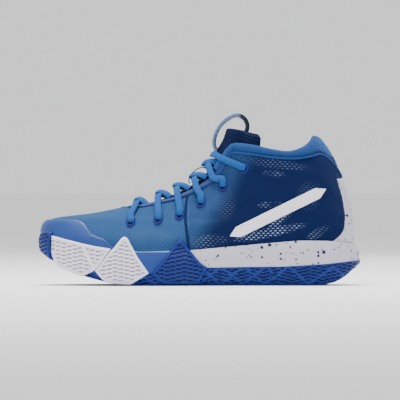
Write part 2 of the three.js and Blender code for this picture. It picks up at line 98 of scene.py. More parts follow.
TOP_LINE = (
    (-153, 50.5), (-137.7, 46.5), (-109, 39.4), (-83, 34.5), (-58, 31), (-7, 32.4),
    (60, 38.4), (97, 41.4), (127, 41), (153, 37.5),
)
RUBBER_LINE = (
    (-153, 43), (-134, 27), (-111, 17), (-88, 12), (-66, 11), (-30, 12), (0, 16.5),
    (40, 17.2), (80, 17.6), (120, 20), (153, 23.5),
)
THROAT_LINE = ((-73, 0), (-72, 5), (-69, 9.5), (-60, 14), (-30, 18.2), (10, 18), (34, 15), (60, 14))
EYELETS = ((-63.8, 60.5), (-38, 63), (-17.9, 67), (2.1, 78.5), (22.8, 94), (42.9, 110.5))


def hermite(a: Array, b: Array, c: Array, d: Array, u: Array) -> Array:
    """Smooth value between b and c, with a and d beyond them."""
    return b + 0.5 * u * (c - a + u * (2 * a - 5 * b + 4 * c - d + u * (3 * (b - c) + d - a)))


def line_at(points: Line, x: Array, ease: float = 5) -> Array:
    """Height of a line of points at x, with its corners eased over a few millimetres."""
    xs, zs = np.array(points, float).T
    return (np.interp(x - ease, xs, zs) + 2 * np.interp(x, xs, zs) + np.interp(x + ease, xs, zs)) / 4


def smooth(edge0: float, edge1: float, x: Array) -> Array:
    """A soft step from 0 at edge0 to 1 at edge1."""
    u = np.clip((x - edge0) / (edge1 - edge0), 0, 1)
    return u * u * (3 - 2 * u)


HALVINGS = 26


def bisect(low: Array, high: Array, reached: Callable[[Array], Array]) -> tuple[Array, Array]:
    """Closes in on the place where a test first holds.

    Args:
        low: places where it doesn't hold.
        high: places where it may hold.
        reached: the test, for an array of places.

    Returns:
        The places just before and just after it.
    """
    for _ in range(HALVINGS):
        middle = (low + high) / 2
        hit = reached(middle)
        high, low = np.where(hit, middle, high), np.where(hit, low, middle)
    return low, high


def station_value(values: Array, turn: Array, odd: bool) -> Array:
    """Smooth value through seven numbers between two zeros.

    Args:
        values: one row of seven numbers for each turn.
        turn: place from 0, the front, to 1, the back.
        odd: True where the shape mirrors with a change of sign, as a half width does.

    Returns:
        The value at each turn.
    """
    sign = -1 if odd else 1
    zero = np.zeros((len(values), 1))
    padded = np.hstack([sign * values[:, :1], zero, values, zero, sign * values[:, -1:]])
    spot = np.clip(turn, 0, 1) * 8
    k = np.clip(spot.astype(int), 0, 7)
    rows = np.arange(len(values))
    a, b, c, d = (padded[rows, k + i] for i in range(4))
    return hermite(a, b, c, d, spot - k)


def centre_shift(x: Array) -> Array:
    """How far the toe turns in."""
    return 5 * (np.maximum(0, (-57 - x) / (-57 - SOLE_FRONT)) ** 1.6)


def arch_tuck(x: Array) -> Array:
    """How far the inner side of the waist is cut in."""
    return 4 * np.exp(-(((x - 12) / 42) ** 2))


class Last:
    """The foot form that the upper is pulled over."""

    def __init__(self) -> None:
        """Reads the ring table."""
        self.at = np.array([r.at for r in RINGS])
        self.table = np.array([[*r.front, *r.back, *r.half, *r.sag] for r in RINGS], float)

    def rows(self, t: Array) -> Array:
        """The ring table's values at heights t.

        Args:
            t: heights on the form.

        Returns:
            One row of values for each height.
        """
        k = np.clip(np.searchsorted(self.at, t, side="right") - 1, 0, len(self.at) - 2)
        u = ((t - self.at[k]) / (self.at[k + 1] - self.at[k]))[:, None]
        a, b, c, d = (self.table[np.clip(k + i, 0, len(self.at) - 1)] for i in (-1, 0, 1, 2))
        return hermite(a, b, c, d, u)

    def point(self, t: Array, turn: Array, side: Array) -> Array:
        """Points of the surface; a negative turn goes on round the front.

        Args:
            t: heights on the form.
            turn: places round the form, 0 at the front to 1 at the back.
            side: -1 for the outer side, 1 for the inner.

        Returns:
            Rows of three, in millimetres.
        """
        side = np.where(turn < 0, -side, side)
        turn = np.abs(turn)
        over = turn > 1
        side, turn = np.where(over, -side, side), np.where(over, 2 - turn, turn)
        row = self.rows(t)
        s = (1 - np.cos(math.pi * turn)) / 2
        x = row[:, 0] + (row[:, 2] - row[:, 0]) * s
        chord = row[:, 1] + (row[:, 3] - row[:, 1]) * s
        tuck = arch_tuck(x) * np.maximum(0, 1 - t / 0.5) * np.sin(math.pi * turn) * (side > 0)
        y = side * (station_value(row[:, 4:11], turn, True) - tuck) + centre_shift(x)
        return np.stack([x, y, chord - station_value(row[:, 11:18], turn, False)], axis=1)

    def normal(self, t: Array, turn: Array, side: Array) -> Array:
        """Unit normals out of the surface.

        Args:
            t: heights on the form.
            turn: places round the form, 0 at the front to 1 at the back.
            side: -1 for the outer side, 1 for the inner.

        Returns:
            Rows of three.
        """
        e = 0.004
        along = self.point(t, turn + e, side) - self.point(t, turn - e, side)
        low = self.point(np.maximum(t - e, 0), turn, side)
        up = self.point(np.minimum(t + e, self.at[-1]), turn, side) - low
        n = np.cross(along, up)
        n /= np.linalg.norm(n, axis=1, keepdims=True) + 1e-12
        core = self.point(t, np.full_like(turn, 0.5), side)
        core[:, 1] = 0
        core[:, 2] -= 8
        return np.where(((low - core) * n).sum(axis=1, keepdims=True) < 0, -n, n)

    def off(self, t: Array, turn: Array, side: Array, offset: Array) -> Array:
        """Points at an offset along the normal.

        Args:
            t: heights on the form.
            turn: places round the form, 0 at the front to 1 at the back.
            side: -1 for the outer side, 1 for the inner.
            offset: millimetres out from the surface.

        Returns:
            Points in the shape of the arguments, in millimetres.
        """
        t, turn, side, offset = np.broadcast_arrays(t, turn, side, offset)
        shape = t.shape
        flat = [np.ravel(v).astype(float) for v in (t, turn, side, offset)]
        out = self.point(*flat[:3]) + self.normal(*flat[:3]) * flat[3][:, None]
        return out.reshape(*shape, 3)

    def turn_at(self, t: Array, x: Array) -> Array:
        """The turn of the ring point at x.

        Args:
            t: heights on the form.
            x: places along the shoe.

        Returns:
            The turn at each place.
        """
        row = self.rows(t)
        s = np.clip((x - row[:, 0]) / (row[:, 2] - row[:, 0]), 0, 1)
        return np.arccos(1 - 2 * s) / math.pi

    def solve(self, x: Array, reached: Callable[[Array, Array], Array], side: Array) -> tuple[Array, Array]:
        """Where a test first holds, going up the form at x.

        Args:
            x: places along the form.
            reached: the test, for points and the x of their ring's front end.
            side: -1 for the outer side, 1 for the inner, at each place.

        Returns:
            The height and the turn at each place.
        """
        def hit(t: Array) -> Array:
            """Whether the test holds at these heights."""
            return reached(self.point(t, self.turn_at(t, x), side), self.rows(t)[:, 0])

        low, _ = bisect(np.zeros_like(x), np.full_like(x, self.at[-1]), hit)
        return low, self.turn_at(low, x)

    def on_side(self, x: Array, z: Array, side: int, offset: Array) -> Array:
        """Points off the side of the form at the given x and z.

        Args:
            x: places along the shoe.
            z: places up the shoe.
            side: -1 for the outer side, 1 for the inner.
            offset: millimetres out from the surface.

        Returns:
            Points in the shape of the arguments, in millimetres.
        """
        x, z, offset = (np.asarray(v, float) for v in np.broadcast_arrays(x, z, offset))
        shape = x.shape
        xf, zf, sf = x.ravel(), z.ravel(), np.full(x.size, float(side))
        t, turn = self.solve(xf, lambda p, front: (front > xf) | (p[:, 2] > zf), sf)
        return self.off(t, turn, sf, offset.ravel()).reshape(*shape, 3)

    def on_top(self, x: float, y: float, offset: float) -> tuple[Vector, Vector]:
        """A point off the top of the form at the given x and y, and the normal there.

        Args:
            x: place along the shoe.
            y: place across it.
            offset: millimetres out from the surface.

        Returns:
            The point and the normal.
        """
        side = np.array([-1.0 if y < 0 else 1.0])
        xs = np.array([float(x)])
        t, turn = self.solve(xs, lambda p, front: (front > xs) | (side * p[:, 1] < abs(y)), side)
        n = self.normal(t, turn, side)[0]
        return Vector(self.point(t, turn, side)[0] + n * offset), Vector(n)


LAST = Last()


class SoleOutline:
    """The sole's side wall, from the ground line up to the top line."""

    edge_round = 5.0
    top_taper = 3.0

    def at(self, turn: Array, side: Array, k: Array) -> Array:
        """Plan points at a turn and a height share k.

        Args:
            turn: places round the outline, 0 at the front to 1 at the back.
            side: -1 for the outer side, 1 for the inner.
            k: share of the wall's height.

        Returns:
            Rows of two, x and y.
        """
        side = np.where(turn < 0, -side, side)
        turn = np.abs(turn)
        over = turn > 1
        side, turn = np.where(over, -side, side), np.where(over, 2 - turn, turn)
        inset = self.edge_round * np.clip(1 - k / 0.28, 0, 1) ** 2
        inset = inset + self.top_taper * np.clip((k - 0.55) / 0.45, 0, 1) ** 2
        s = (1 - np.cos(math.pi * turn)) / 2
        x = SOLE_FRONT + (SOLE_BACK - SOLE_FRONT) * s + inset * np.cos(math.pi * turn)
        tuck = arch_tuck(x) * np.sin(math.pi * turn) * (side > 0)
        table = np.tile(np.array(SOLE_HALF, float), (len(turn), 1))
        half = station_value(table, turn, True) - tuck - inset * np.sin(math.pi * turn)
        return np.stack([x, side * half + centre_shift(x)], axis=1)

    def wall(self, turn: Array, side: Array, z: Array, offset: Array) -> Array:
        """Points of the wall at height z, pushed out by offset.

        Args:
            turn: places round the outline, 0 at the front to 1 at the back.
            side: -1 for the outer side, 1 for the inner.
            z: heights above the floor.
            offset: millimetres out from the wall.

        Returns:
            Points in the shape of the arguments, in millimetres.
        """
        turn, side, z, offset = np.broadcast_arrays(turn, side, z, offset)
        shape = turn.shape
        turn, side, z, offset = (np.ravel(v).astype(float) for v in (turn, side, z, offset))
        x = self.x_at(turn)
        ground = line_at(GROUND_LINE, x)
        k = (z - ground) / (line_at(TOP_LINE, x) - ground)
        e = 0.004
        along = self.at(turn + e, side, k) - self.at(turn - e, side, k)
        along /= np.linalg.norm(along, axis=1, keepdims=True) + 1e-12
        out = np.stack([along[:, 1], -along[:, 0]], axis=1) * (-side * offset)[:, None]
        plan = self.at(turn, side, k) + out
        return np.column_stack([plan, z]).reshape(*shape, 3)

    @staticmethod
    def x_at(turn: Array) -> Array:
        """The nominal x of a turn."""
        return SOLE_FRONT + (SOLE_BACK - SOLE_FRONT) * (1 - np.cos(math.pi * np.asarray(turn))) / 2

    @staticmethod
    def turn_of(x: Array) -> Array:
        """The turn whose nominal x is given."""
        s = np.clip((np.asarray(x, float) - SOLE_FRONT) / (SOLE_BACK - SOLE_FRONT), 0, 1)
        return np.arccos(1 - 2 * s) / math.pi


SOLE = SoleOutline()


def side_skin(x: Array, z: Array, side: int, offset: Array) -> Array:
    """Points on the smooth skin over the sole's wall and the upper above it.

    Args:
        x: places along the shoe.
        z: places up the shoe.
        side: -1 for the outer side, 1 for the inner.
        offset: millimetres out from the surface.

    Returns:
        Points in the shape of the arguments, in millimetres.
    """
    x, z, offset = (np.asarray(v, float) for v in np.broadcast_arrays(x, z, offset))
    top = line_at(TOP_LINE, x)
    wall = SOLE.wall(SOLE.turn_of(x), side, np.minimum(z, top + 1), offset)
    upper = LAST.on_side(x, np.maximum(z, top - 2), side, offset)
    share = smooth(-1.5, 4.5, z - top)[..., None]
    out = wall * (1 - share) + upper * share
    out[..., 0], out[..., 2] = x, z
    return out


# ---------------------------------------------------------------- mesh helpers


def deselect() -> None:
    """Leaves nothing selected, so that an operator acts only on the new piece."""
    if bpy.context.object and bpy.context.object.mode != "OBJECT":
        bpy.ops.object.mode_set(mode="OBJECT")
    bpy.ops.object.select_all(action="DESELECT")


def finish_mesh(piece: bpy.types.Object, merge: float = 2e-5, smooth_angle: float = 55) -> None:
    """Merges doubles, turns the faces outwards and shades the piece smooth.

    Args:
        piece: the piece, which is the active object.
        merge: distance in metres below which points are joined.
        smooth_angle: edges sharper than this many degrees stay crisp.
    """
    bpy.ops.object.mode_set(mode="EDIT")
    bpy.ops.mesh.select_all(action="SELECT")
    bpy.ops.mesh.remove_doubles(threshold=merge)
    bpy.ops.mesh.normals_make_consistent(inside=False)
    bpy.ops.object.mode_set(mode="OBJECT")
    bpy.ops.object.shade_smooth_by_angle(angle=math.radians(smooth_angle))


def surface_flow(points: Array, relief: Array | None) -> Array:
    """How far each point lies along the surface, and how much painted shade it gets in a groove.

    Args:
        points: rows by columns by three, in millimetres.
        relief: strength of the painted shade from 0 to 1 at each point, following the grooves, or None.

    Returns:
        Millimetres across from the middle, millimetres up from the first row, and the painted shade's
        strength.
    """
    across = np.linalg.norm(np.diff(points, axis=1), axis=2)
    up = np.linalg.norm(np.diff(points, axis=0), axis=2)
    u = np.concatenate([np.zeros((len(points), 1)), np.cumsum(across, axis=1)], axis=1)
    v = np.concatenate([np.zeros((1, points.shape[1])), np.cumsum(up, axis=0)], axis=0)
    u -= u[:, -1:] / 2
    depth = np.zeros_like(u) if relief is None else relief
    return np.stack([u, v, depth], axis=-1)


def mark_flow(piece: bpy.types.Object, flow: Array) -> None:
    """Stores the flow at each face's corners, before any points are merged.

    Args:
        piece: the new grid.
        flow: three numbers for each of its points.
    """
    corners = np.empty(len(piece.data.loops), dtype=np.int32)
    piece.data.loops.foreach_get("vertex_index", corners)
    values = flow.reshape(-1, 3)[corners].astype(np.float32)
    layer = piece.data.attributes.new("flow", "FLOAT_VECTOR", "CORNER")
    layer.data.foreach_set("vector", values.ravel())


def grid_piece(name: str, points: Array, caps: bool = False, relief: Array | None = None,
               flow: Array | None = None, **kwargs: float) -> bpy.types.Object:
    """A grid whose corners are moved onto a shape.

    Args:
        name: the piece's name.
        points: rows by columns by three, in millimetres.
        caps: True to close the first and the last row with a face.
        relief: strength of the painted shade from 0 to 1 at each point, following the grooves, for the
            finish.
        flow: the finish's own coordinates, where the surface's aren't wanted.
        kwargs: passed on to finish_mesh.

    Returns:
        The new piece, at the origin.
    """
    rows, columns = points.shape[:2]
    deselect()
    bpy.ops.mesh.primitive_grid_add(x_subdivisions=columns - 1, y_subdivisions=rows - 1, size=1)
    piece = bpy.context.object
    piece.name = piece.data.name = name
    piece.data.vertices.foreach_set("co", (points.reshape(-1, 3) * MM).ravel())
    piece.data.update()
    mark_flow(piece, surface_flow(points, relief) if flow is None else flow)
    if caps:
        for first in (0, rows - 1):
            bpy.ops.object.mode_set(mode="EDIT")
            bpy.ops.mesh.select_all(action="DESELECT")
            bpy.ops.object.mode_set(mode="OBJECT")
            for i in range(first * columns, (first + 1) * columns):
                piece.data.vertices[i].select = True
            bpy.ops.object.mode_set(mode="EDIT")
            bpy.ops.mesh.edge_face_add()
            bpy.ops.object.mode_set(mode="OBJECT")
    finish_mesh(piece, **kwargs)
    return piece


def apply(piece: bpy.types.Object, kind: str, **settings: object) -> None:
    """Adds a modifier with the given settings and applies it.

    Args:
        piece: the piece.
        kind: the modifier's type.
        settings: its properties.
    """
    bpy.context.view_layer.objects.active = piece
    modifier = piece.modifiers.new(kind.title(), kind)
    for key, value in settings.items():
        setattr(modifier, key, value)
    bpy.ops.object.modifier_apply(modifier=modifier.name)


def thicken(piece: bpy.types.Object, thickness: float) -> None:
    """Gives a shell its thickness, inwards from the surface it has."""
    apply(piece, "SOLIDIFY", thickness=thickness * MM, offset=-1.0, use_quality_normals=True)


def join(name: str, pieces: Sequence[bpy.types.Object]) -> bpy.types.Object:
    """Joins pieces of one part into one object.

    Args:
        name: the joined piece's name.
        pieces: what to join; the first one stays.

    Returns:
        The joined piece.
    """
    deselect()
    for piece in pieces:
        piece.select_set(True)
    bpy.context.view_layer.objects.active = pieces[0]
    bpy.ops.object.join()
    pieces[0].name = pieces[0].data.name = name
    return pieces[0]


def dress(piece: bpy.types.Object, material: bpy.types.Material, slot: str, *nodes: str,
          body: str = "shoe") -> bpy.types.Object:
    """Gives a piece its finish, its body and the CAD nodes it stands for.

    Args:
        piece: the piece.
        material: its finish.
        slot: the name of its colour slot; not used.
        nodes: the CAD nodes it replaces.
        body: the body it moves with.

    Returns:
        The same piece.
    """
    piece.data.materials.clear()
    piece.data.materials.append(material)
    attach(piece, body)
    if nodes:
        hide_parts(*nodes)
    log.info("%s: %d faces", piece.name, len(piece.data.polygons))
    return piece


def ribbon(points: Sequence[Vector], normals: Sequence[Vector], width: float, thick: float,
           steps: int = 60, sides: int = 14, power: float = 2.6) -> Array:
    """Rows of section points along a smooth path, for a flat lace or tape.

    Args:
        points: the path, in millimetres.
        normals: which way the flat side faces at each point.
        width: full width.
        thick: full thickness.
        steps: rows along the path.
        sides: points round the section.
        power: squareness of the section; 2 is an ellipse.

    Returns:
        Rows by columns by three, the last column on the first.
    """
    way = np.array([list(p) for p in points], float)
    face = np.array([list(n) for n in normals], float)
    gaps = np.linalg.norm(np.diff(way, axis=0), axis=1) ** 0.5
    knots = np.concatenate([[0], np.cumsum(gaps)])
    at = np.linspace(0, knots[-1], steps)
    k = np.clip(np.searchsorted(knots, at, side="right") - 1, 0, len(way) - 2)
    u = ((at - knots[k]) / (knots[k + 1] - knots[k]))[:, None]
    grown = np.vstack([2 * way[:1] - way[1:2], way, 2 * way[-1:] - way[-2:-1]])
    line = hermite(grown[k], grown[k + 1], grown[k + 2], grown[k + 3], u)
    up = face[k] * (1 - u) + face[k + 1] * u
    tangent = np.gradient(line, axis=0)
    tangent /= np.linalg.norm(tangent, axis=1, keepdims=True)
    across = np.cross(tangent, up)
    across /= np.linalg.norm(across, axis=1, keepdims=True)
    up = np.cross(across, tangent)
    angle = np.linspace(0, 2 * math.pi, sides + 1)
    a = np.sign(np.cos(angle)) * np.abs(np.cos(angle)) ** (2 / power) * width / 2
    b = np.sign(np.sin(angle)) * np.abs(np.sin(angle)) ** (2 / power) * thick / 2
    return line[:, None] + across[:, None] * a[None, :, None] + up[:, None] * b[None, :, None]


# ---------------------------------------------------------------- finishes


class Weave(Enum):
    """The fabrics that a finish can show."""

    KNIT = "knit"
    RIB = "rib"
    BRAID = "braid"
    BRUSHED = "brushed"


class Nodes:
    """A short hand for building one material's nodes."""

    def __init__(self, name: str) -> None:
        """Starts a material with a Principled shader.

        Args:
            name: the material's name.
        """
        self.material = bpy.data.materials.new(name)
        self.material.use_nodes = True
        self.tree = self.material.node_tree
        self.shader = self.tree.nodes["Principled BSDF"]
        self.place = self.tree.nodes.new("ShaderNodeTexCoord").outputs["Object"]

    def flow(self) -> tuple[bpy.types.NodeSocket, bpy.types.NodeSocket, bpy.types.NodeSocket]:
        """Reads the surface's own coordinates.

        Returns:
            Millimetres across and up the surface, and the strength of the painted groove shade.
        """
        node = self.add("Attribute", {"attribute_name": "flow"})
        split = self.add("SeparateXYZ", Vector=node.outputs["Vector"])
        return split.outputs["X"], split.outputs["Y"], split.outputs["Z"]

    def band(self, value: object, inner: float, outer: float) -> bpy.types.NodeSocket:
        """1 below the inner value, 0 above the outer one, smooth between.

        Args:
            value: the number to test.
            inner: where the fall begins.
            outer: where it ends.

        Returns:
            The share.
        """
        node = self.add("MapRange", {"interpolation_type": "SMOOTHSTEP"}, i0=value, i1=inner, i2=outer,
                        i3=1.0, i4=0.0)
        return node.outputs[0]

    def dashes(self, u: object, v: object, long: float, tall: float) -> bpy.types.NodeSocket:
        """Short dashes laid like bricks, 0 to 1.

        Args:
            u: millimetres across.
            v: millimetres up.
            long: distance between dashes in a row.
            tall: distance between rows.

        Returns:
            How far each spot is in a dash.
        """
        row = self.math("DIVIDE", v, tall)
        shift = self.math("MULTIPLY", self.math("FLOOR", row), 0.5)
        column = self.math("FRACT", self.math("ADD", self.math("DIVIDE", u, long), shift))
        away = self.math("ABSOLUTE", self.math("SUBTRACT", column, 0.5))
        off = self.math("ABSOLUTE", self.math("SUBTRACT", self.math("FRACT", row), 0.5))
        return self.math("MULTIPLY", self.band(away, 0.20, 0.34), self.band(off, 0.12, 0.36))

    def add(self, kind: str, settings: dict | None = None, **inputs: object) -> bpy.types.Node:
        """Adds a node; inputs are sockets to link or values, keyed by socket name or number.

        Args:
            kind: the shader node's type, without its prefix.
            settings: the node's own properties.
            inputs: sockets or values, by socket name, or by i and its number.

        Returns:
            The new node.
        """
        node = self.tree.nodes.new("ShaderNode" + kind)
        for key, value in (settings or {}).items():
            setattr(node, key, value)
        for key, value in inputs.items():
            socket = node.inputs[int(key[1:])] if key[0] == "i" and key[1:].isdigit() else node.inputs[key]
            if isinstance(value, bpy.types.NodeSocket):
                self.tree.links.new(value, socket)
            else:
                socket.default_value = value
        return node

    def math(self, operation: str, a: object, b: object = 0.0, c: float = 0.0,
             clamp: bool = False) -> bpy.types.NodeSocket:
        """A Math node's result.

        Args:
            operation: what it does.
            a: first number or socket.
            b: second number or socket.
            c: third number.
            clamp: True to keep the result within 0 and 1.

        Returns:
            The result.
        """
        node = self.add("Math", {"operation": operation, "use_clamp": clamp}, i0=a, i1=b, i2=c)
        return node.outputs[0]

    def noise(self, scale: float, detail: float = 4, rough: float = 0.55,
              vector: bpy.types.NodeSocket | None = None) -> bpy.types.NodeSocket:
        """Noise in Object coordinates.

        Args:
            scale: how fine it is.
            detail: how many finer layers it has.
            rough: how strong those layers are.
            vector: other coordinates to use.

        Returns:
            The noise, 0 to 1.
        """
        vector = vector or self.place
        node = self.add("TexNoise", Vector=vector, Scale=scale, Detail=detail, Roughness=rough)
        return node.outputs["Fac"]

    def mix(self, fac: object, a: object, b: object, blend: str = "MIX") -> bpy.types.NodeSocket:
        """A mix of two colours.

        Args:
            fac: share of the second colour.
            a: first colour or socket.
            b: second colour or socket.
            blend: how they mix.

        Returns:
            The mixed colour.
        """
        node = self.tree.nodes.new("ShaderNodeMix")
        node.data_type, node.blend_type = "RGBA", blend
        for socket, value in ((node.inputs[0], fac), (node.inputs[6], a), (node.inputs[7], b)):
            if isinstance(value, bpy.types.NodeSocket):
                self.tree.links.new(value, socket)
            else:
                socket.default_value = (*value, 1) if isinstance(value, tuple) else value
        return node.outputs[2]

    def axis(self, name: str) -> bpy.types.NodeSocket:
        """One axis of the Object coordinates, in millimetres."""
        split = self.add("SeparateXYZ", Vector=self.place)
        return self.math("MULTIPLY", split.outputs[name], 1000.0)

    def finish(self, color: object, roughness: object, height: object = None, depth: float = 0.3,
               **fixed: float) -> bpy.types.Material:
        """Wires the shader: colour, roughness, bump and the sockets that are one number.

        Args:
            color: a colour or a socket.
            roughness: a number or a socket.
            height: bump height, where there is any.
            depth: the bump's depth in millimetres.
            fixed: other sockets, by name with low lines for spaces.

        Returns:
            The finished material.
        """
        for name, value in (("Base Color", color), ("Roughness", roughness)):
            if isinstance(value, bpy.types.NodeSocket):
                self.tree.links.new(value, self.shader.inputs[name])
            else:
                self.shader.inputs[name].default_value = (*value, 1) if name == "Base Color" else value
        if height is not None:
            bump = self.add("Bump", Height=height, Strength=0.9, Distance=depth * MM)
            self.tree.links.new(bump.outputs[0], self.shader.inputs["Normal"])
        for name, value in fixed.items():
            self.shader.inputs[name.replace("_", " ")].default_value = value
        return self.material


@dataclass(frozen=True)
class FabricFinish:
    """A fabric: its two yarn colours, its weave and its scale."""

    name: str
    dark: Color
    light: Color
    weave: Weave = Weave.KNIT
    pitch: float = 1.3
    depth: float = 0.35
    sheen: float = 0.12

    def height(self, n: Nodes) -> bpy.types.NodeSocket:
        """Draws the weave.

        Args:
            n: the material being built.

        Returns:
            The weave's height, 0 to 1.
        """
        if self.weave is Weave.BRUSHED:
            return n.noise(900 / self.pitch, 6)
        u, v, _ = n.flow()
        turn = 2 * math.pi / self.pitch
        if self.weave is Weave.RIB:
            return n.math("ADD", n.math("MULTIPLY", n.math("SINE", n.math("MULTIPLY", v, turn)), 0.5), 0.5)
        if self.weave is Weave.BRAID:
            left = n.math("SINE", n.math("MULTIPLY", n.math("ADD", u, v), turn))
            right = n.math("SINE", n.math("MULTIPLY", n.math("SUBTRACT", u, v), turn))
            return n.math("ADD", n.math("MULTIPLY", n.math("MULTIPLY", left, right), 0.5), 0.5)
        wale = n.math("SINE", n.math("MULTIPLY", u, turn))
        sway = n.math("ADD", n.math("MULTIPLY", v, turn * 1.3), n.math("MULTIPLY", wale, 0.9))
        course = n.math("SINE", sway)
        both = n.math("ADD", n.math("MULTIPLY", wale, 0.2), n.math("MULTIPLY", course, 0.3))
        return n.math("ADD", both, 0.5)

    def shine(self, n: Nodes, color: object, rough: object, height: object) -> bpy.types.Material:
        """Wires the shader, with a soft sheen in the yarn's own colour.

        Args:
            n: the material being built.
            color: the yarn's colour.
            rough: its roughness.
            height: the weave's height.

        Returns:
            The finished material.
        """
        tint = tuple(min(1.0, 2.2 * c + 0.1) for c in self.light)
        return n.finish(color, rough, height, self.depth, Sheen_Weight=self.sheen, Sheen_Roughness=0.4,
                        Sheen_Tint=(*tint, 1), Specular_IOR_Level=0.12)

    def build(self) -> bpy.types.Material:
        """Mixes two yarns, with the darker one in patches.

        Returns:
            The finished material.
        """
        n = Nodes(self.name)
        height = self.height(n)
        color = n.mix(height, self.dark, self.light)
        color = n.mix(n.math("MULTIPLY", n.noise(28, 3), 0.45), color, self.dark)
        rough = n.math("ADD", n.math("MULTIPLY", height, -0.12), 0.86)
        return self.shine(n, color, rough, height)


@dataclass(frozen=True)
class UpperFinish(FabricFinish):
    """The upper's knit: bright at the vamp, deep at the quarters, with rows of pale float stitches."""

    rear_dark: Color = (0.0010, 0.0045, 0.034)
    rear_light: Color = (0.0024, 0.0130, 0.080)
    fleck: Color = (0.26, 0.34, 0.50)
    float_long: float = 4.5
    float_tall: float = 2.25
    seam_x: float = -9.0
    seam_z: float = 60.0
    seam_lean: float = -0.6
    seam_blend: float = 34.0
    ovals: tuple[tuple[float, ...], ...] = (
        (66, 49.5, 34, 4.8, 1.0, 0.21), (76, 61, 13, 4.5, 0.7, 0.7), (112, 49, 11, 5, 0.45, 0.5),
        (8, 41, 20, 7, 0.35, 0.1), (70, 105, 11, 3.6, 0.5, -0.1), (67, 76, 12, 3.4, 0.5, 0.1),
        (72, 114, 34, 5, 0.22, -0.12), (104, 84, 13, 15, 0.14, 0.2), (24, 76, 12, 16, 0.14, 0.2),
        (-50, 46, 30, 8, 0.12, 0.0),
    )

    def fields(self, n: Nodes, x: object, z: object) -> bpy.types.NodeSocket:
        """Draws the fields of pale float stitches, a few slanting ovals with broken edges.

        Args:
            n: the material being built.
            x: millimetres along the shoe.
            z: millimetres up the shoe.

        Returns:
            How strongly the pale stitches show, 0 to 1.
        """
        total = None
        for middle_x, middle_z, long, tall, strength, slant in self.ovals:
            along = n.math("SUBTRACT", x, middle_x)
            up = n.math("SUBTRACT", n.math("SUBTRACT", z, middle_z), n.math("MULTIPLY", along, slant))
            wide = n.math("POWER", n.math("DIVIDE", n.math("ABSOLUTE", along), long), 2.0)
            high = n.math("POWER", n.math("DIVIDE", n.math("ABSOLUTE", up), tall), 2.0)
            spot = n.math("MULTIPLY", n.band(n.math("ADD", wide, high), 0.25, 1.25), strength)
            total = spot if total is None else n.math("MAXIMUM", total, spot)
        broken = n.math("MULTIPLY_ADD", n.noise(70, 3), 3.4, -0.85)
        return n.math("MULTIPLY", total, broken, clamp=True)

    def build(self) -> bpy.types.Material:
        """Mixes the two knits, their shadows and the pale floats.

        Returns:
            The finished material.
        """
        n = Nodes(self.name)
        x, z = n.axis("X"), n.axis("Z")
        u, v, _ = n.flow()
        height = self.height(n)
        vamp = n.mix(height, self.dark, self.light)
        rear = n.mix(height, self.rear_dark, self.rear_light)
        slope = n.math("ADD", x, n.math("MULTIPLY", n.math("SUBTRACT", z, self.seam_z), self.seam_lean))
        back = n.math("SUBTRACT", 1.0, n.band(slope, self.seam_x, self.seam_x + self.seam_blend))
        step = n.math("MULTIPLY", n.math("GREATER_THAN", x, self.seam_x), 0.25)
        color = n.mix(n.math("MAXIMUM", back, step), vamp, rear)
        floats = n.dashes(u, v, self.float_long, self.float_tall)
        shadow = n.math("MULTIPLY", floats, n.math("MULTIPLY", n.noise(26, 3), 0.75))
        color = n.mix(shadow, color, self.rear_dark)
        pale = n.math("MULTIPLY", floats, self.fields(n, x, z))
        color = n.mix(pale, color, self.fleck)
        color = n.mix(n.math("MULTIPLY", n.noise(19, 3), 0.30), color, self.rear_dark)
        relief = n.math("ADD", height, n.math("MULTIPLY", floats, 0.9))
        return self.shine(n, color, 0.82, relief)


@dataclass(frozen=True)
class TapeFinish(FabricFinish):
    """The loop's tape: pale at the front leg, near black at the back one."""

    back: Color = (0.004, 0.007, 0.025)
    change_x: float = 37.0

    def build(self) -> bpy.types.Material:
        """Mixes the two ends of the tape.

        Returns:
            The finished material.
        """
        n = Nodes(self.name)
        height = self.height(n)
        pale = n.mix(height, self.dark, self.light)
        color = n.mix(n.band(n.axis("X"), self.change_x, self.change_x + 4), self.back, pale)
        return self.shine(n, color, 0.8, height)


@dataclass(frozen=True)
class RubberFinish:
    """Moulded rubber or film: faint mottling, a fine pebbled skin and painted shade in its grooves."""

    name: str
    color: Color
    shade: Color
    # the colour of the painted shade in the grooves
    groove: Color
    rough: float = 0.5
    grain: float = 2600
    depth: float = 0.05
    gloss: float = 0.25

    def build(self) -> bpy.types.Material:
        """Mixes the rubber, its mottling and the painted shade in its grooves.

        Returns:
            The finished material.
        """
        n = Nodes(self.name)
        cloud = n.noise(35, 4)
        color = n.mix(n.math("MULTIPLY", cloud, 0.6), self.color, self.shade)
        # painted shade: the groove colour where the flow attribute marks a groove, and on the panels a faint
        # line inside the rim
        color = n.mix(n.math("MULTIPLY", n.flow()[2], 0.85), color, self.groove)
        rough = n.math("ADD", n.math("MULTIPLY", cloud, 0.16), self.rough - 0.08)
        return n.finish(color, rough, n.noise(self.grain, 3), self.depth, Specular_IOR_Level=self.gloss)


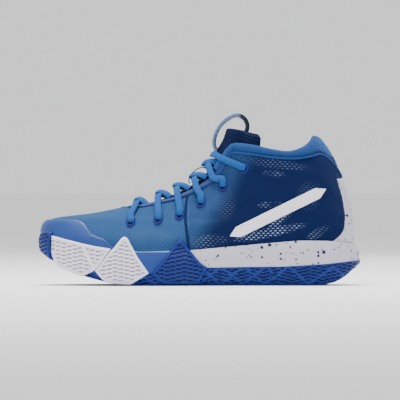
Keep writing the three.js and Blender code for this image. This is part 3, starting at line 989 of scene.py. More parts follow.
@dataclass(frozen=True)
class SpeckleFinish:
    """White moulding with scattered dark flecks, which may turn plain blue at the front."""

    name: str
    white: Color = (0.50, 0.465, 0.545)
    shade: Color = (0.39, 0.365, 0.445)
    blue: Color = (0.010, 0.040, 0.200)
    bead: Color = (0.16, 0.24, 0.48)
    fleck: Color = (0.005, 0.008, 0.045)
    blue_ends: float = -500.0
    bead_z: float = 31.2
    density: float = 0.0

    def marks(self, n: Nodes) -> bpy.types.NodeSocket:
        """Scatters flecks of two sizes, with ragged edges.

        Args:
            n: the material being built.

        Returns:
            How far each spot is in a fleck, 0 to 1.
        """
        wobble = n.add("TexNoise", Vector=n.place, Scale=700.0, Detail=2.0)
        bent = n.add("VectorMath", {"operation": "MULTIPLY_ADD"}, i0=wobble.outputs["Color"],
                     i1=(0.0022, 0.0022, 0.0022), i2=n.place)
        marks = None
        for scale, keep, size in ((190.0, 0.50, 0.34), (330.0, 0.50, 0.34)):
            cell = n.add("TexVoronoi", {"feature": "F1"}, Vector=bent.outputs[0], Scale=scale)
            pick = n.add("SeparateColor", Color=cell.outputs["Color"]).outputs
            chosen = n.math("GREATER_THAN", pick[0], keep - self.density)
            reach = n.math("MULTIPLY", pick[1], size)
            spot = n.math("MULTIPLY", n.math("LESS_THAN", cell.outputs["Distance"], reach), chosen)
            marks = spot if marks is None else n.math("MAXIMUM", marks, spot)
        return marks

    def build(self) -> bpy.types.Material:
        """Mixes the white moulding, its flecks and its blue front.

        Returns:
            The finished material.
        """
        n = Nodes(self.name)
        white = n.mix(n.math("MULTIPLY", n.noise(60, 3), 0.5), self.white, self.shade)
        rear = n.mix(self.marks(n), white, self.fleck)
        bead = n.math("GREATER_THAN", n.axis("Z"), self.bead_z)
        front = n.mix(bead, self.blue, self.bead)
        color = n.mix(n.math("LESS_THAN", n.axis("X"), self.blue_ends), rear, front)
        return n.finish(color, 0.55, n.noise(1800, 3), 0.06, Specular_IOR_Level=0.3)


class Finishes:
    """Every material of the shoe, built once."""

    def __init__(self) -> None:
        """Builds them."""
        self.fabrics()
        self.mouldings()

    def fabrics(self) -> None:
        """The knits, the linings, the lace, the threads and the tapes."""
        self.upper = UpperFinish("engineered_knit", (0.010, 0.043, 0.138), (0.041, 0.136, 0.320),
                                 pitch=1.5, sheen=0.1).build()
        self.collar = FabricFinish("collar_knit", (0.005, 0.026, 0.115), (0.020, 0.085, 0.270),
                                   pitch=1.1, sheen=0.3).build()
        self.tongue = FabricFinish("tongue_knit", (0.0012, 0.004, 0.022), (0.004, 0.016, 0.075),
                                   Weave.RIB, pitch=2.0, depth=0.5).build()
        self.lining = FabricFinish("lining", (0.002, 0.007, 0.03), (0.004, 0.013, 0.055),
                                   Weave.BRUSHED).build()
        self.board = FabricFinish("lasting_board", (0.50, 0.48, 0.42), (0.65, 0.62, 0.55),
                                  Weave.BRUSHED).build()
        self.lace = FabricFinish("braided_lace", (0.006, 0.045, 0.180), (0.026, 0.150, 0.460),
                                 Weave.BRAID, pitch=1.6, depth=0.4, sheen=0.15).build()
        self.thread = FabricFinish("seam_thread", (0.002, 0.008, 0.05), (0.005, 0.020, 0.10),
                                   Weave.BRAID, pitch=1.0).build()
        self.stitch = FabricFinish("eyelet_thread", (0.010, 0.014, 0.14), (0.028, 0.036, 0.26),
                                   Weave.BRAID, pitch=1.0).build()
        self.keeper = FabricFinish("keeper_tape", (0.006, 0.008, 0.020), (0.03, 0.035, 0.06),
                                   Weave.BRAID, pitch=1.0).build()
        self.tape = TapeFinish("loop_tape", (0.10, 0.16, 0.34), (0.24, 0.33, 0.56),
                               Weave.BRAID, pitch=1.3).build()

    def mouldings(self) -> None:
        """The rubbers, the films, the foams and the hard pieces."""
        # The third colour of each rubber is its painted groove shade.
        blue = ((0.0036, 0.017, 0.150), (0.006, 0.026, 0.185), (0.0008, 0.003, 0.030))
        white = ((0.78, 0.735, 0.82), (0.69, 0.645, 0.745), (0.22, 0.20, 0.28))
        film = ((0.009, 0.040, 0.185), (0.013, 0.054, 0.225), (0.004, 0.02, 0.10))
        edge = ((0.005, 0.024, 0.130), (0.008, 0.034, 0.165), (0.002, 0.01, 0.05))
        skin = ((0.30, 0.40, 0.60), (0.38, 0.48, 0.66), (0.1, 0.1, 0.2))
        plate = ((0.015, 0.016, 0.02), (0.03, 0.03, 0.035), (0, 0, 0))
        # dark: the colour of the painted shade inside the eyelet holes
        dark = ((0.001, 0.002, 0.012), (0.001, 0.002, 0.015), (0, 0, 0))
        self.blue_rubber = RubberFinish("blue_rubber", *blue).build()
        self.white_rubber = RubberFinish("white_rubber", *white).build()
        self.film = RubberFinish("fused_film", *film, rough=0.42, grain=3600, depth=0.04, gloss=0.35).build()
        self.mark = RubberFinish("white_overlay", *white, rough=0.4).build()
        self.binding = RubberFinish("throat_binding", *edge).build()
        self.cushion = RubberFinish("cushion_skin", *skin).build()
        self.shank = RubberFinish("shank_plastic", *plate).build()
        # the eyelet discs' finish, painted shade inside the lace holes
        self.hole = RubberFinish("eyelet_shadow", *dark, gloss=0.05).build()
        self.counter = SpeckleFinish("moulded_counter", density=-0.05).build()
        self.foam = SpeckleFinish("speckled_foam", blue_ends=-14.0, density=0.06).build()


# ---------------------------------------------------------------- the shoe's sub-assemblies


def spread(start: float, stop: float, count: int) -> Array:
    """Evenly spaced numbers."""
    return np.linspace(start, stop, count)


def shoulder(gap: Array, reach: float) -> Array:
    """A rounded edge: 0 at the edge, rising on a quarter circle to 1 at reach."""
    return np.sqrt(np.clip(1 - (1 - np.clip(gap / reach, 0, 1)) ** 2, 0, 1))


def solve_turn(t: Array, line: Line, limit: float = 0.45) -> Array:
    """The turn at each height where the ring is as wide as a half-width line says.

    Args:
        t: heights up the last.
        line: the half width wanted at each x.
        limit: the furthest turn looked at.

    Returns:
        The turn at each height.
    """
    side = np.full_like(t, -1.0)

    def wide(turn: Array) -> Array:
        """Whether the ring is wide enough at this turn."""
        p = LAST.point(t, turn, side)
        return np.abs(p[:, 1] - centre_shift(p[:, 0])) >= line_at(line, p[:, 0], 2)

    return bisect(np.zeros_like(t), np.full_like(t, limit), wide)[1]


def vectors(rows: Array) -> list[Vector]:
    """Rows of three numbers as vectors."""
    return [Vector(row) for row in rows]


@dataclass
class KnitUpper:
    """The knit bootie, from the feather line to the collar, with its lining and footbed."""

    finishes: Finishes
    top: float = 0.935
    wall: float = 2.4
    rows: int = 150
    columns: int = 250
    edge_roll: float = 0.8
    collar_puff: float = 0.5
    drape: float = 0.35
    over_top: float = 0.8
    ball_half: float = 55.0
    heel_half: float = 35.0
    lining_inset: float = 3.3
    lining_thick: float = 0.9
    seam: Line = ((31, -8.5), (45, -10.5), (60, -12.5), (75, -12), (88, -10))
    seam_width: float = 2.4
    seam_thick: float = 1.3
    footbed_at: float = 0.045
    footbed_inset: float = 4.1
    footbed_thick: float = 3.6
    footbed_dish: float = 2.4

    def build(self) -> None:
        """Makes and dresses every piece of the upper."""
        self.shell()
        self.lining()
        for side in Side:
            self.seam_tape(side)
        self.sockliner()

    def shell(self) -> None:
        """The outer knit, rolled at the throat's edge, fuller under the collar and a little uneven."""
        t = spread(0, self.top, self.rows)[:, None]
        edge = solve_turn(t[:, 0], THROAT_LINE)[:, None]
        turn = edge + (2 - 2 * edge) * spread(0, 1, self.columns)
        near = np.minimum(turn - edge, 2 - edge - turn)
        roll = self.edge_roll * np.exp(-((near / 0.02) ** 2)) * (edge > 0.01)
        puff = self.collar_puff * smooth(0.80, 0.93, t)
        waves = np.sin(turn * 31 + 9 * t) * np.sin(t * 23)
        drape = self.drape * waves * (np.abs(turn - 1) < 0.7)
        points = LAST.off(t, turn, -1.0, roll + puff + drape)
        piece = grid_piece("knit_upper", points, flow=self.knit_flow(points))
        thicken(piece, self.wall)
        dress(piece, self.finishes.upper, "knit", "vamp", "rear_quarters")

    def knit_flow(self, points: Array) -> Array:
        """The knit's coordinates: along the shoe, and up its wall and over its top.

        Args:
            points: the knit's surface, in millimetres.

        Returns:
            Millimetres along, millimetres up, and no groove.
        """
        x, z = points[..., 0], points[..., 2]
        inward = np.abs(points[..., 1] - centre_shift(x))
        round_heel = np.maximum(0, self.heel_half - inward) * smooth(95, 140, x)
        return np.stack([x + round_heel, z + self.over_top * (self.ball_half - inward), 0 * x], axis=-1)

    def lining(self) -> None:
        """The brushed lining inside."""
        t = spread(0.04, self.top, 60)[:, None]
        edge = solve_turn(t[:, 0], THROAT_LINE)[:, None] + 0.012
        turn = edge + (2 - 2 * edge) * spread(0, 1, 120)
        piece = grid_piece("collar_lining_cloth", LAST.off(t, turn, -1.0, -self.lining_inset))
        thicken(piece, self.lining_thick)
        dress(piece, self.finishes.lining, "lining", "collar_lining")

    def seam_tape(self, side: Side) -> None:
        """The raised seam where the vamp meets the quarters.

        Args:
            side: which side of the shoe.
        """
        zs, xs = np.array(self.seam, float).T
        z = spread(31, 84, 70)
        x = np.interp(z, zs, xs)
        skin, points, outer = (LAST.on_side(x, z, side.value, lift) for lift in (0.0, 0.45, 2.0))
        rows = ribbon(vectors(points), vectors(outer - skin), self.seam_width, self.seam_thick, 90, 12)
        piece = grid_piece(f"quarter_seam_{side.label}", rows, caps=True)
        dress(piece, self.finishes.thread, "knit")

    def sockliner(self) -> None:
        """The moulded insole, dished along its middle."""
        turn = spread(0.03, 0.97, 110)
        left, right = (LAST.off(self.footbed_at, turn, side, -self.footbed_inset) for side in (-1.0, 1.0))
        v = spread(0, 1, 40)[None, :, None]
        points = left[:, None] * (1 - v) + right[:, None] * v
        points[..., 2] -= self.footbed_dish * np.sin(math.pi * v[..., 0]) ** 0.7
        piece = grid_piece("sockliner_pad", points)
        thicken(piece, -self.footbed_thick)
        dress(piece, self.finishes.lining, "lining", "sockliner")


@dataclass
class Collar:
    """The padded roll round the ankle."""

    finishes: Finishes
    start: float = 0.158
    centre: float = 0.962
    rise: float = 0.042
    inset: float = 3.6
    half_thick: float = 4.9
    proud: float = 1.8
    heel_drop: float = 0.155
    heel_fullness: float = 0.12
    heel_thinning: float = 0.55
    crease: float = 0.25
    edge_low: float = 0.79
    edge_width: float = 7.6
    edge_thick: float = 5.2
    piping_start: float = 0.17
    piping_width: float = 2.0
    piping_thick: float = 1.5

    def build(self) -> None:
        """Makes and dresses the roll, its piping and its front edges."""
        self.roll()
        self.piping()
        for side in Side:
            self.front_edge(side)

    def heel_share(self, turn: Array) -> Array:
        """0 round the sides of the ankle and 1 at the back of the heel."""
        return smooth(0.80, 1.0, 1 - np.abs(turn - 1))

    def roll(self) -> None:
        """The roll itself, deeper and thinner at its lower edge where it goes down the heel."""
        w = spread(0, 1, 220)
        turn = (self.start + (2 - 2 * self.start) * w)[:, None]
        angle = spread(0, 2 * math.pi, 41)[None, :]
        taper = np.sqrt(np.clip(np.minimum(w, 1 - w) / 0.02, 0.02, 1))[:, None]
        heel = self.heel_share(turn)
        out, up = np.cos(angle), np.sin(angle)
        drop = self.rise + self.heel_drop * heel * smooth(0.0, 0.75, out)
        lift = self.rise * (1 + 0.15 * heel)
        t = self.centre + taper * np.where(up > 0, lift * up, drop * up)
        crease = self.crease * np.sin(turn * 95) * np.maximum(0, up)
        fat = 1 + self.heel_fullness * heel
        thin = self.heel_thinning * heel * smooth(0.1, 0.9, -up) * (out > 0)
        flat = np.where(up < 0, 1 - thin, 1)
        offset = -self.inset + taper * (self.half_thick * fat * flat * out + crease)
        points = LAST.off(t, turn, -1.0, np.minimum(offset, self.proud))
        piece = grid_piece("collar_roll", points, caps=True, smooth_angle=80)
        dress(piece, self.finishes.collar, "collar_knit", "collar_pad")

    def front_edge(self, side: Side) -> None:
        """The roll's narrow end, which runs down the throat's edge to the top lace.

        Args:
            side: which side of the shoe.
        """
        t = spread(self.edge_low, self.centre + 0.012, 9)
        turn = solve_turn(t, THROAT_LINE)
        turn += spread(0.004, 0.030, 9) + 0.02 * smooth(0.93, self.centre, t)
        sides = np.full_like(t, float(side.value))
        places, normals = LAST.off(t, turn, sides, 0.2), LAST.normal(t, turn, sides)
        rows = ribbon(vectors(places), vectors(normals), self.edge_width, self.edge_thick, 80, 20, 2.0)
        piece = grid_piece(f"collar_front_{side.label}", rows, caps=True, smooth_angle=80)
        dress(piece, self.finishes.collar, "collar_knit")

    def piping(self) -> None:
        """The thin ridge under the roll."""
        turn = self.piping_start + (2 - 2 * self.piping_start) * spread(0, 1, 150)
        t = self.centre - self.rise - self.heel_drop * self.heel_share(turn) - 0.002
        side = np.full_like(turn, -1.0)
        places, normals = LAST.off(t, turn, side, 0.9), LAST.normal(t, turn, side)
        rows = ribbon(vectors(places), vectors(normals), self.piping_width, self.piping_thick, 300, 10, 2.0)
        dress(grid_piece("collar_piping", rows, caps=True), self.finishes.collar, "collar_knit")


def tape_normals(points: Sequence[Vector], twist: float) -> list[Vector]:
    """Which way a tape's flat side faces along a path in the shoe's middle plane.

    Args:
        points: the path.
        twist: how far the flat side turns to the shoe's side.

    Returns:
        One direction for each point.
    """
    normals = []
    for i in range(len(points)):
        before, after = points[max(i - 1, 0)], points[min(i + 1, len(points) - 1)]
        way = (after - before).normalized()
        normals.append(Vector((-way.z, twist, way.x)))
    return normals


@dataclass
class Tongue:
    """The padded tongue with its lace keeper and its pull loop."""

    finishes: Finishes
    root_at: float = 0.375
    tip_at: float = 1.115
    thick: float = 4.4
    face: float = 3.5
    forward: float = 6.0
    ankle_wrap: float = 0.175
    shoulder_drop: float = 0.035
    side_tuck: float = 6.2
    rib: float = 0.22
    line: Line = ((-84, 0), (-80, 11), (-60, 18.5), (-20, 22), (12, 22), (30, 20.5), (60, 20))
    keeper: Line = ((-9.4, 98.5), (-7.6, 103.5), (-3.4, 108), (2, 110.8), (7, 110.6))
    keeper_ends: tuple[float, float] = (-9, 12)
    keeper_width: float = 5.5
    loop: Line = ((17.5, 126.2), (15.2, 130), (14.6, 136), (16.8, 144), (21.5, 151.5), (28.6, 157.4),
                  (36.3, 160.2), (43, 157.2), (46, 151), (45, 144.5), (41.5, 138.5))
    loop_twist: float = 0.20
    loop_width: float = 12.6
    loop_thick: float = 2.1

    def build(self) -> None:
        """Makes and dresses the tongue, its loop and its lace keeper."""
        self.pad()
        self.pull_loop()
        self.lace_keeper()

    def pad(self) -> None:
        """The tongue itself, wider at the top where it wraps the ankle."""
        v = spread(0, 1, 150)
        t = self.root_at + (self.tip_at - self.root_at) * v
        half = solve_turn(np.minimum(t, 1.1), self.line)
        half = np.maximum(half, 0.03) + self.ankle_wrap * smooth(0.93, 1.0, t)
        tip = np.sqrt(np.clip((1 - v) / 0.035, 0.0, 1))
        root = np.sqrt(np.clip(v / 0.03, 0.01, 1))
        angle = spread(0, 2 * math.pi, 65)[None, :]
        c, s = np.cos(angle), np.sin(angle)
        turn = half[:, None] * np.sign(c) * np.abs(c) ** 0.75 * (0.9 + 0.1 * tip[:, None])
        away = np.abs(turn)
        rows = t[:, None] - self.shoulder_drop * smooth(0.10, 0.34, away) * smooth(0.9, 1.1, t)[:, None]
        tuck = self.side_tuck * smooth(0.13, 0.2, away) * smooth(0.84, 0.93, rows)
        ribs = self.rib * np.sin(t * 260)[:, None] * (s > 0)
        plump = np.minimum(tip, root)[:, None] * self.thick / 2 * np.sign(s) * np.abs(s) ** 0.6
        height = LAST.off(rows, turn, -1.0, 0.0)[..., 2]
        ahead = self.forward * smooth(114, 128, height) * smooth(0.17, 0.03, away)
        offset = -self.face - self.thick / 2 + ahead - tuck + plump + ribs
        piece = grid_piece("tongue_pad", LAST.off(rows, turn, -1.0, offset), caps=True, smooth_angle=80)
        dress(piece, self.finishes.tongue, "tongue_knit", "tongue")

    def lace_keeper(self) -> None:
        """The thin tape half way up the tongue that holds the lace in the middle."""
        low, high = (LAST.on_top(x, 0, -1.5)[0] for x in self.keeper_ends)
        points = [low, *(Vector((x, 0, z)) for x, z in self.keeper), high]
        rows = ribbon(points, tape_normals(points, 0.0), self.keeper_width, 1.0, 70, 16, 4)
        dress(grid_piece("lace_keeper", rows, caps=True), self.finishes.keeper, "webbing")

    def pull_loop(self) -> None:
        """The tape loop, sewn on at both ends."""
        points = [Vector((x, 0, z)) for x, z in self.loop]
        normals = tape_normals(points, self.loop_twist)
        rows = ribbon(points, normals, self.loop_width, self.loop_thick, 120, 28, 5)
        piece = grid_piece("pull_loop_tape", rows, caps=True)
        dress(piece, self.finishes.tape, "webbing", "tongue_pull_loop", body="pull_loop")


@dataclass
class Throat:
    """The binding round the throat, the eyelets and the laces."""

    finishes: Finishes
    binding_reach: tuple[float, ...] = (-1.1, -0.5, 0.2, 1.0, 2.4, 4.4, 6.2, 6.9)
    binding_lift: tuple[float, ...] = (-2.6, -0.6, 0.9, 1.55, 1.6, 1.45, 1.1, 0.0)
    eyelet_half: tuple[float, float] = (3.5, 4.3)
    mouth_half: tuple[float, float] = (3.0, 3.8)
    eyelet_drop: float = 0.6
    lace_width: float = 6.4
    lace_thick: float = 3.0
    shoulders: tuple[float, ...] = (-60, -38, -19, -1, 15)
    crossings: tuple[float, ...] = (-56, -36, -20, -4, 8)
    tucks: tuple[float, ...] = (-49, -27, -9, 7, 17)

    def build(self) -> None:
        """Makes and dresses the binding, eyelets and laces."""
        self.binding()
        for side in Side:
            self.eyelets(side)
        for number in range(1, 1 + len(self.crossings)):
            for side in Side:
                self.lace(number, side)
        self.top_lace()

    def binding(self) -> None:
        """The fused strip along both edges of the throat, round its front end."""
        t = np.concatenate([spread(0.405, 0.45, 30), spread(0.453, 0.925, 110)])
        edge = solve_turn(t, THROAT_LINE)
        ring = LAST.rows(t)
        around = 0.5 * math.pi * (ring[:, 2] - ring[:, 0]) * np.sin(math.pi * np.maximum(edge, 0.03)) + 40
        turn = np.maximum(edge[:, None] + np.array(self.binding_reach) * 1.35 / around[:, None], 0)
        pieces = [
            grid_piece(f"binding_{side.label}",
                       LAST.off(t[:, None], turn, float(side.value), np.array(self.binding_lift)))
            for side in Side
        ]
        piece = join("throat_binding", pieces)
        thicken(piece, 0.7)
        dress(piece, self.finishes.binding, "film", "eyestay_outer", "eyestay_inner")

    def eyelets(self, side: Side) -> None:
        """A moulded oval round each lace hole, with a dark disc in its mouth that paints the shade in the
        hole.

        Args:
            side: which side of the shoe.
        """
        angle = spread(0, 2 * math.pi, 29)
        c, s = np.cos(angle), np.sin(angle)
        rims, hole_shade_discs = [], []
        for i, (x, z) in enumerate(EYELETS):
            middle = z - self.eyelet_drop
            wide, tall = self.eyelet_half
            ring = []
            for a in spread(0, 2 * math.pi, 11):
                r = 1 + 0.26 * math.cos(a)
                lift = 0.5 + 0.95 * math.sin(a)
                along = x + (wide * c + 0.8 * s) * r
                ring.append(LAST.on_side(along, middle + tall * s * r, side.value, lift))
            rims.append(grid_piece(f"rim_{i}", np.array(ring).transpose(1, 0, 2)))
            # a near black disc, painted shade inside the lace hole
            wide, tall = self.mouth_half
            disc = []
            for r in (0.02, 0.5, 0.9):
                disc.append(LAST.on_side(x + wide * r * c, middle + tall * r * s, side.value, 0.62))
            hole_shade_discs.append(grid_piece(f"mouth_{i}", np.array(disc)))
            thicken(hole_shade_discs[-1], 0.5)
        dress(join(f"eyelet_rims_{side.label}", rims), self.finishes.stitch, "film")
        dress(join(f"eyelet_mouths_{side.label}", hole_shade_discs), self.finishes.hole, "film")

    def side_spot(self, x: float, z: float, side: int, lift: float) -> tuple[Vector, Vector]:
        """A point off the side of the upper and the normal there.

        Args:
            x: place along the shoe.
            z: height.
            side: -1 for the outer side, 1 for the inner.
            lift: distance off the surface.

        Returns:
            The point and the unit normal.
        """
        skin, outer = (Vector(LAST.on_side(x, z, side, offset)) for offset in (0.0, 1.0))
        normal = (outer - skin).normalized()
        return skin + normal * lift, normal

    def run(self, name: str, node: str, spots: Sequence[tuple[Vector, Vector]], steps: int) -> None:
        """One length of flat lace.

        Args:
            name: the piece's name.
            node: the CAD node it stands for.
            spots: the points it passes, with the way its flat side faces at each.
            steps: rows along it.
        """
        places, normals = zip(*spots)
        rows = ribbon(places, normals, self.lace_width, self.lace_thick, steps, 18, 2.3)
        dress(grid_piece(name, rows, caps=True), self.finishes.lace, "lace", node)

    def lace(self, number: int, side: Side) -> None:
        """One crossing pass, out of its eyelet, over the tongue and under the other side.

        Args:
            number: which pair of eyelets, from 1 at the toe.
            side: the side it starts on.
        """
        i, s = number - 1, side.value
        (x, z), shoulder_x, crossing, tuck = EYELETS[i], self.shoulders[i], self.crossings[i], self.tucks[i]
        early, middle, late = (3.6, 0.6, -1.0) if side is Side.OUTER else (4.6, 4.4, 2.2)
        spots = [
            self.side_spot(x, z - 1.2, s, -1.2), self.side_spot(x + 0.1, z + 0.8, s, 1.7),
            self.side_spot(x + 0.3, z + 5, s, 3.0),
            LAST.on_top(shoulder_x, s * 21, 3.6),
            LAST.on_top((shoulder_x + crossing) / 2, s * 12, early),
            LAST.on_top(crossing, 0, middle),
            LAST.on_top((crossing + tuck) / 2, -s * 8, late),
            LAST.on_top(tuck, -s * 14.5, -1.6),
        ]
        self.run(f"lace_{number}_{side.label}", f"lace_pass_{number}_{side.label}", spots, 90)

    def top_lace(self) -> None:
        """The last pass, round the front of the ankle."""
        x, z = EYELETS[-1]
        half = [
            self.side_spot(x + 0.8, z - 0.6, -1, -1.2), self.side_spot(x - 1.2, z + 0.3, -1, 1.7),
            self.side_spot(x - 8, z + 3.0, -1, 3.0), self.side_spot(x - 18, z + 7, -1, 3.4),
            LAST.on_top(17.5, -9, 3.6),
        ]
        flip = Vector((1, -1, 1))
        other = [(p * flip, n * flip) for p, n in reversed(half)]
        self.run("lace_top", "lace_top_pass", [*half, LAST.on_top(15.5, 0, 3.6), *other], 160)


def herringbone(x: Array, z: Array, pitch: float = 3.7, dash: float = 5.4) -> Array:
    """Depth of short grooves whose rows climb and fall in steps.

    Args:
        x: places along the wall.
        z: places up the wall.
        pitch: distance between rows.
        dash: distance between dashes in a row.

    Returns:
        The depth at each place, 0 to 1.
    """
    column = np.floor(x / dash)
    fold = np.abs((column / 3.0) % 2 - 1)
    row = (z + 3.3 * fold) / pitch
    line = np.abs(row % 1 - 0.5)
    along = np.abs((x / dash) % 1 - 0.5)
    return smooth(0.27, 0.15, line) * smooth(0.47, 0.40, along)


def edge_distance(x: Array, z: Array, outline: Array) -> Array:
    """Distance from each place to the nearest of an outline's points.

    Args:
        x: places along the wall.
        z: places up the wall.
        outline: rows of two, the outline's points.

    Returns:
        One distance for each place.
    """
    flat = np.stack([x.ravel(), z.ravel()], axis=1)
    gaps = np.linalg.norm(flat[:, None] - outline[None], axis=2)
    return gaps.min(axis=1).reshape(x.shape)


@dataclass(frozen=True)
class PanelShape:
    """A rubber panel on the side of the sole, between a low and a high line."""

    name: str
    slot: str
    low: Line
    high: Line
    ridges: tuple[Line, ...] = ()


PANELS = (
    PanelShape(
        "front_panel", "white_rubber",
        low=((-138.8, 31), (-137, 23.5), (-133.5, 18.4), (-128, 15.4), (-118, 11.4), (-109, 8.3),
             (-97.0, 14.2), (-82.8, 33.8)),
        high=((-138.8, 46.8), (-125, 43.2), (-109, 39.4), (-97, 36.8), (-82.8, 34.6)),
        ridges=(((-109.5, 38), (-98.6, 16.5)),),
    ),
    PanelShape(
        "white_peak", "white_rubber",
        low=((-97, 13.4), (-92.5, 7.4), (-88, 3.4), (-76, 1.0), (-63.8, 0.6), (-47.2, 11.0)),
        high=((-97, 14.4), (-84, 31.2), (-79.5, 35.5), (-72.6, 44.4), (-69.8, 46.2), (-66.8, 44.6),
              (-57.6, 27.2), (-47.2, 12.2)),
    ),
    PanelShape(
        "blue_peak", "blue_rubber",
        low=((-43.4, 10.6), (-35, 2.2), (-30, 0.7), (-10, 0.6), (0, 1.2), (8, 15.6)),
        high=((-43.4, 11.8), (-30, 28.4), (-20.4, 41.4), (-17.4, 43.4), (-14.6, 41.8), (-6.4, 31.2),
              (1.2, 21.6), (8, 17.2)),
    ),
)


@dataclass
class Sole:
    """The midsole, the tread rubber and the panels that rise over its side."""

    finishes: Finishes
    end_turn: float = 0.004
    tread_gap: tuple[float, float] = (32.95, 33.05)
    band_levels: int = 14
    bed: float = 28.0
    lip: tuple[tuple[float, float], ...] = ((0.55, -0.5), (0.7, -1.2), (0.3, -2.0), (-1.5, -2.3))
    ridge_span: float = 42.0
    ridge_rise: float = 16.5
    ridge_stop: float = 70.0
    tread_depth: float = 1.7
    tread_pitch: float = 5.2
    tread_wave: float = 15.0
    tread_swing: float = 4.5
    tread_steps: int = 96
    panel_thick: float = 2.6
    panel_wall: float = 0.8
    bumper_end: float = -139.2
    bumper_rise: float = 1.4

    def build(self) -> None:
        """Makes and dresses every piece of the sole."""
        self.midsole()
        front, back = (float(SOLE.turn_of(x)) for x in self.tread_gap)
        self.outsole("forefoot_tread", "forefoot_outsole", self.end_turn, front, 260)
        self.outsole("heel_tread", "heel_outsole", back, 1 - self.end_turn, 170)
        for side in Side:
            for shape in PANELS:
                self.panel(shape, side)
        self.toe_bumper()

    def midsole(self) -> None:
        """The foam, a cup whose wall stands up round the upper."""
        turn = spread(self.end_turn, 1 - self.end_turn, 230)
        x = SOLE.x_at(turn)
        low, top = line_at(RUBBER_LINE, x) - 0.4, line_at(TOP_LINE, x)
        wall = []
        for k in spread(0, 1, self.band_levels):
            waist = -0.5 * math.sin(math.pi * min(1, k * 1.5)) ** 2
            wall.append((low + (top - low) * k, waist))
        wall += [(top + rise, inset) for rise, inset in self.lip]
        wall.append((np.minimum(top - 5, self.bed), -4))
        outer = [SOLE.wall(turn, -1.0, z, o) for z, o in wall]
        inner = [SOLE.wall(turn, 1.0, z, o) for z, o in reversed(wall)]
        across = [outer[-1] * (1 - v) + inner[0] * v for v in (0.2, 0.4, 0.6, 0.8)]
        under = [inner[-1] * (1 - v) + outer[0] * v for v in (0.15, 0.35, 0.65, 0.85, 1)]
        loop = np.array(outer + across + inner + under).transpose(1, 0, 2)
        piece = grid_piece("foam_midsole", loop, caps=True, smooth_angle=50)
        dress(piece, self.finishes.foam, "foam", "midsole")

    def side_cut(self, x: Array, z: Array) -> Array:
        """Depth of the moulded slits on the rubber's wall.

        Args:
            x: places along the wall.
            z: places up the wall.

        Returns:
            The depth at each place, up to about 1; the crossing ridges are below 0.
        """
        fold = np.abs((x / self.ridge_span) % 1 - 0.5) * 2
        up = np.abs(z - 1 - fold * self.ridge_rise)
        down = np.abs(z - 1 - self.ridge_rise + fold * self.ridge_rise)
        crossing = smooth(1.5, 0.5, down * 0.75) * (x < self.ridge_stop)
        ridge = np.maximum(smooth(1.5, 0.5, up * 0.75), crossing)
        return 1.15 * herringbone(x, z, 3.1, 4.8) * (1 - ridge) - 0.6 * ridge

    def tread_groove(self, p: Array, v: float, ends: Array) -> Array:
        """Depth of the zigzag grooves in one row across the underside.

        Args:
            p: the row's points.
            v: the row's place across the sole, 0 to 1.
            ends: 0 at the row's ends and 1 between them.

        Returns:
            The depth at each point, 0 to 1.
        """
        wave = np.abs(((p[:, 1] + 200) / self.tread_wave) % 1 - 0.5) * 2
        groove = np.abs(((p[:, 0] + self.tread_swing * wave + 400) / self.tread_pitch) % 1 - 0.5)
        edge = smooth(0.0, 0.05, min(v, 1 - v))
        return smooth(0.26, 0.12, groove) * edge * ends

    def outsole(self, name: str, node: str, first: float, last: float, columns: int) -> None:
        """One half of the tread rubber, with its herringbone underside.

        Args:
            name: the piece's name.
            node: the CAD node it stands for.
            first: the turn at its front end.
            last: the turn at its back end.
            columns: points along it.
        """
        turn = spread(first, last, columns)
        x = SOLE.x_at(turn)
        ground, top = line_at(GROUND_LINE, x), line_at(RUBBER_LINE, x)
        cuts, walls = [], {-1: [], 1: []}
        for k in spread(0, 1, 40):
            z = ground + (top - ground) * k
            cut = self.side_cut(x, z) * smooth(0, 0.12, k) * smooth(1, 0.88, k)
            cuts.append(cut)
            for s, wall in walls.items():
                wall.append(SOLE.wall(turn, float(s), z, 0.45 - 1.0 * cut))
        ends = smooth(0, 0.03, np.minimum(turn - first, last - turn))
        under, treads = [], []
        for v in spread(0, 1, self.tread_steps + 1)[1:-1]:
            row = walls[-1][0] * (1 - v) + walls[1][0] * v
            treads.append(self.tread_groove(row, v, ends))
            row[:, 2] += self.tread_depth * treads[-1]
            under.append(row)
        over = [walls[1][-1] * (1 - v) + walls[-1][-1] * v for v in (0.04, 0.3, 0.7, 0.96, 1)]
        loop = np.array([*reversed(walls[-1]), *under, *walls[1], *over]).transpose(1, 0, 2)
        plain = [np.zeros_like(x)] * len(over)
        # painted shade in the slits and the tread grooves, as strong as they are deep
        relief = np.array([*reversed(cuts), *treads, *cuts, *plain]).T
        piece = grid_piece(name, loop, caps=True, relief=relief, smooth_angle=40)
        dress(piece, self.finishes.blue_rubber, "blue_rubber", node)

    def pillow(self, edge: Array, cut: Array) -> Array:
        """How far a panel stands out.

        Args:
            edge: distance to the panel's edge.
            cut: depth of its grooves, 0 to 1.

        Returns:
            Millimetres off the wall, with a rounded edge and a raised rim.
        """
        rim = 0.75 * smooth(0.4, 1.2, edge) * smooth(2.7, 2.0, edge)
        return -0.5 + (self.panel_thick + 0.2) * shoulder(edge, 1.5) + rim - 1.1 * cut

    def shadow(self, edge: Array, cut: Array) -> Array:
        """How dark the finish is: in the grooves, and faintly where the field meets the rim."""
        return np.maximum(cut, 0.35 * smooth(0.55, 0.15, np.abs(edge - 2.75)))

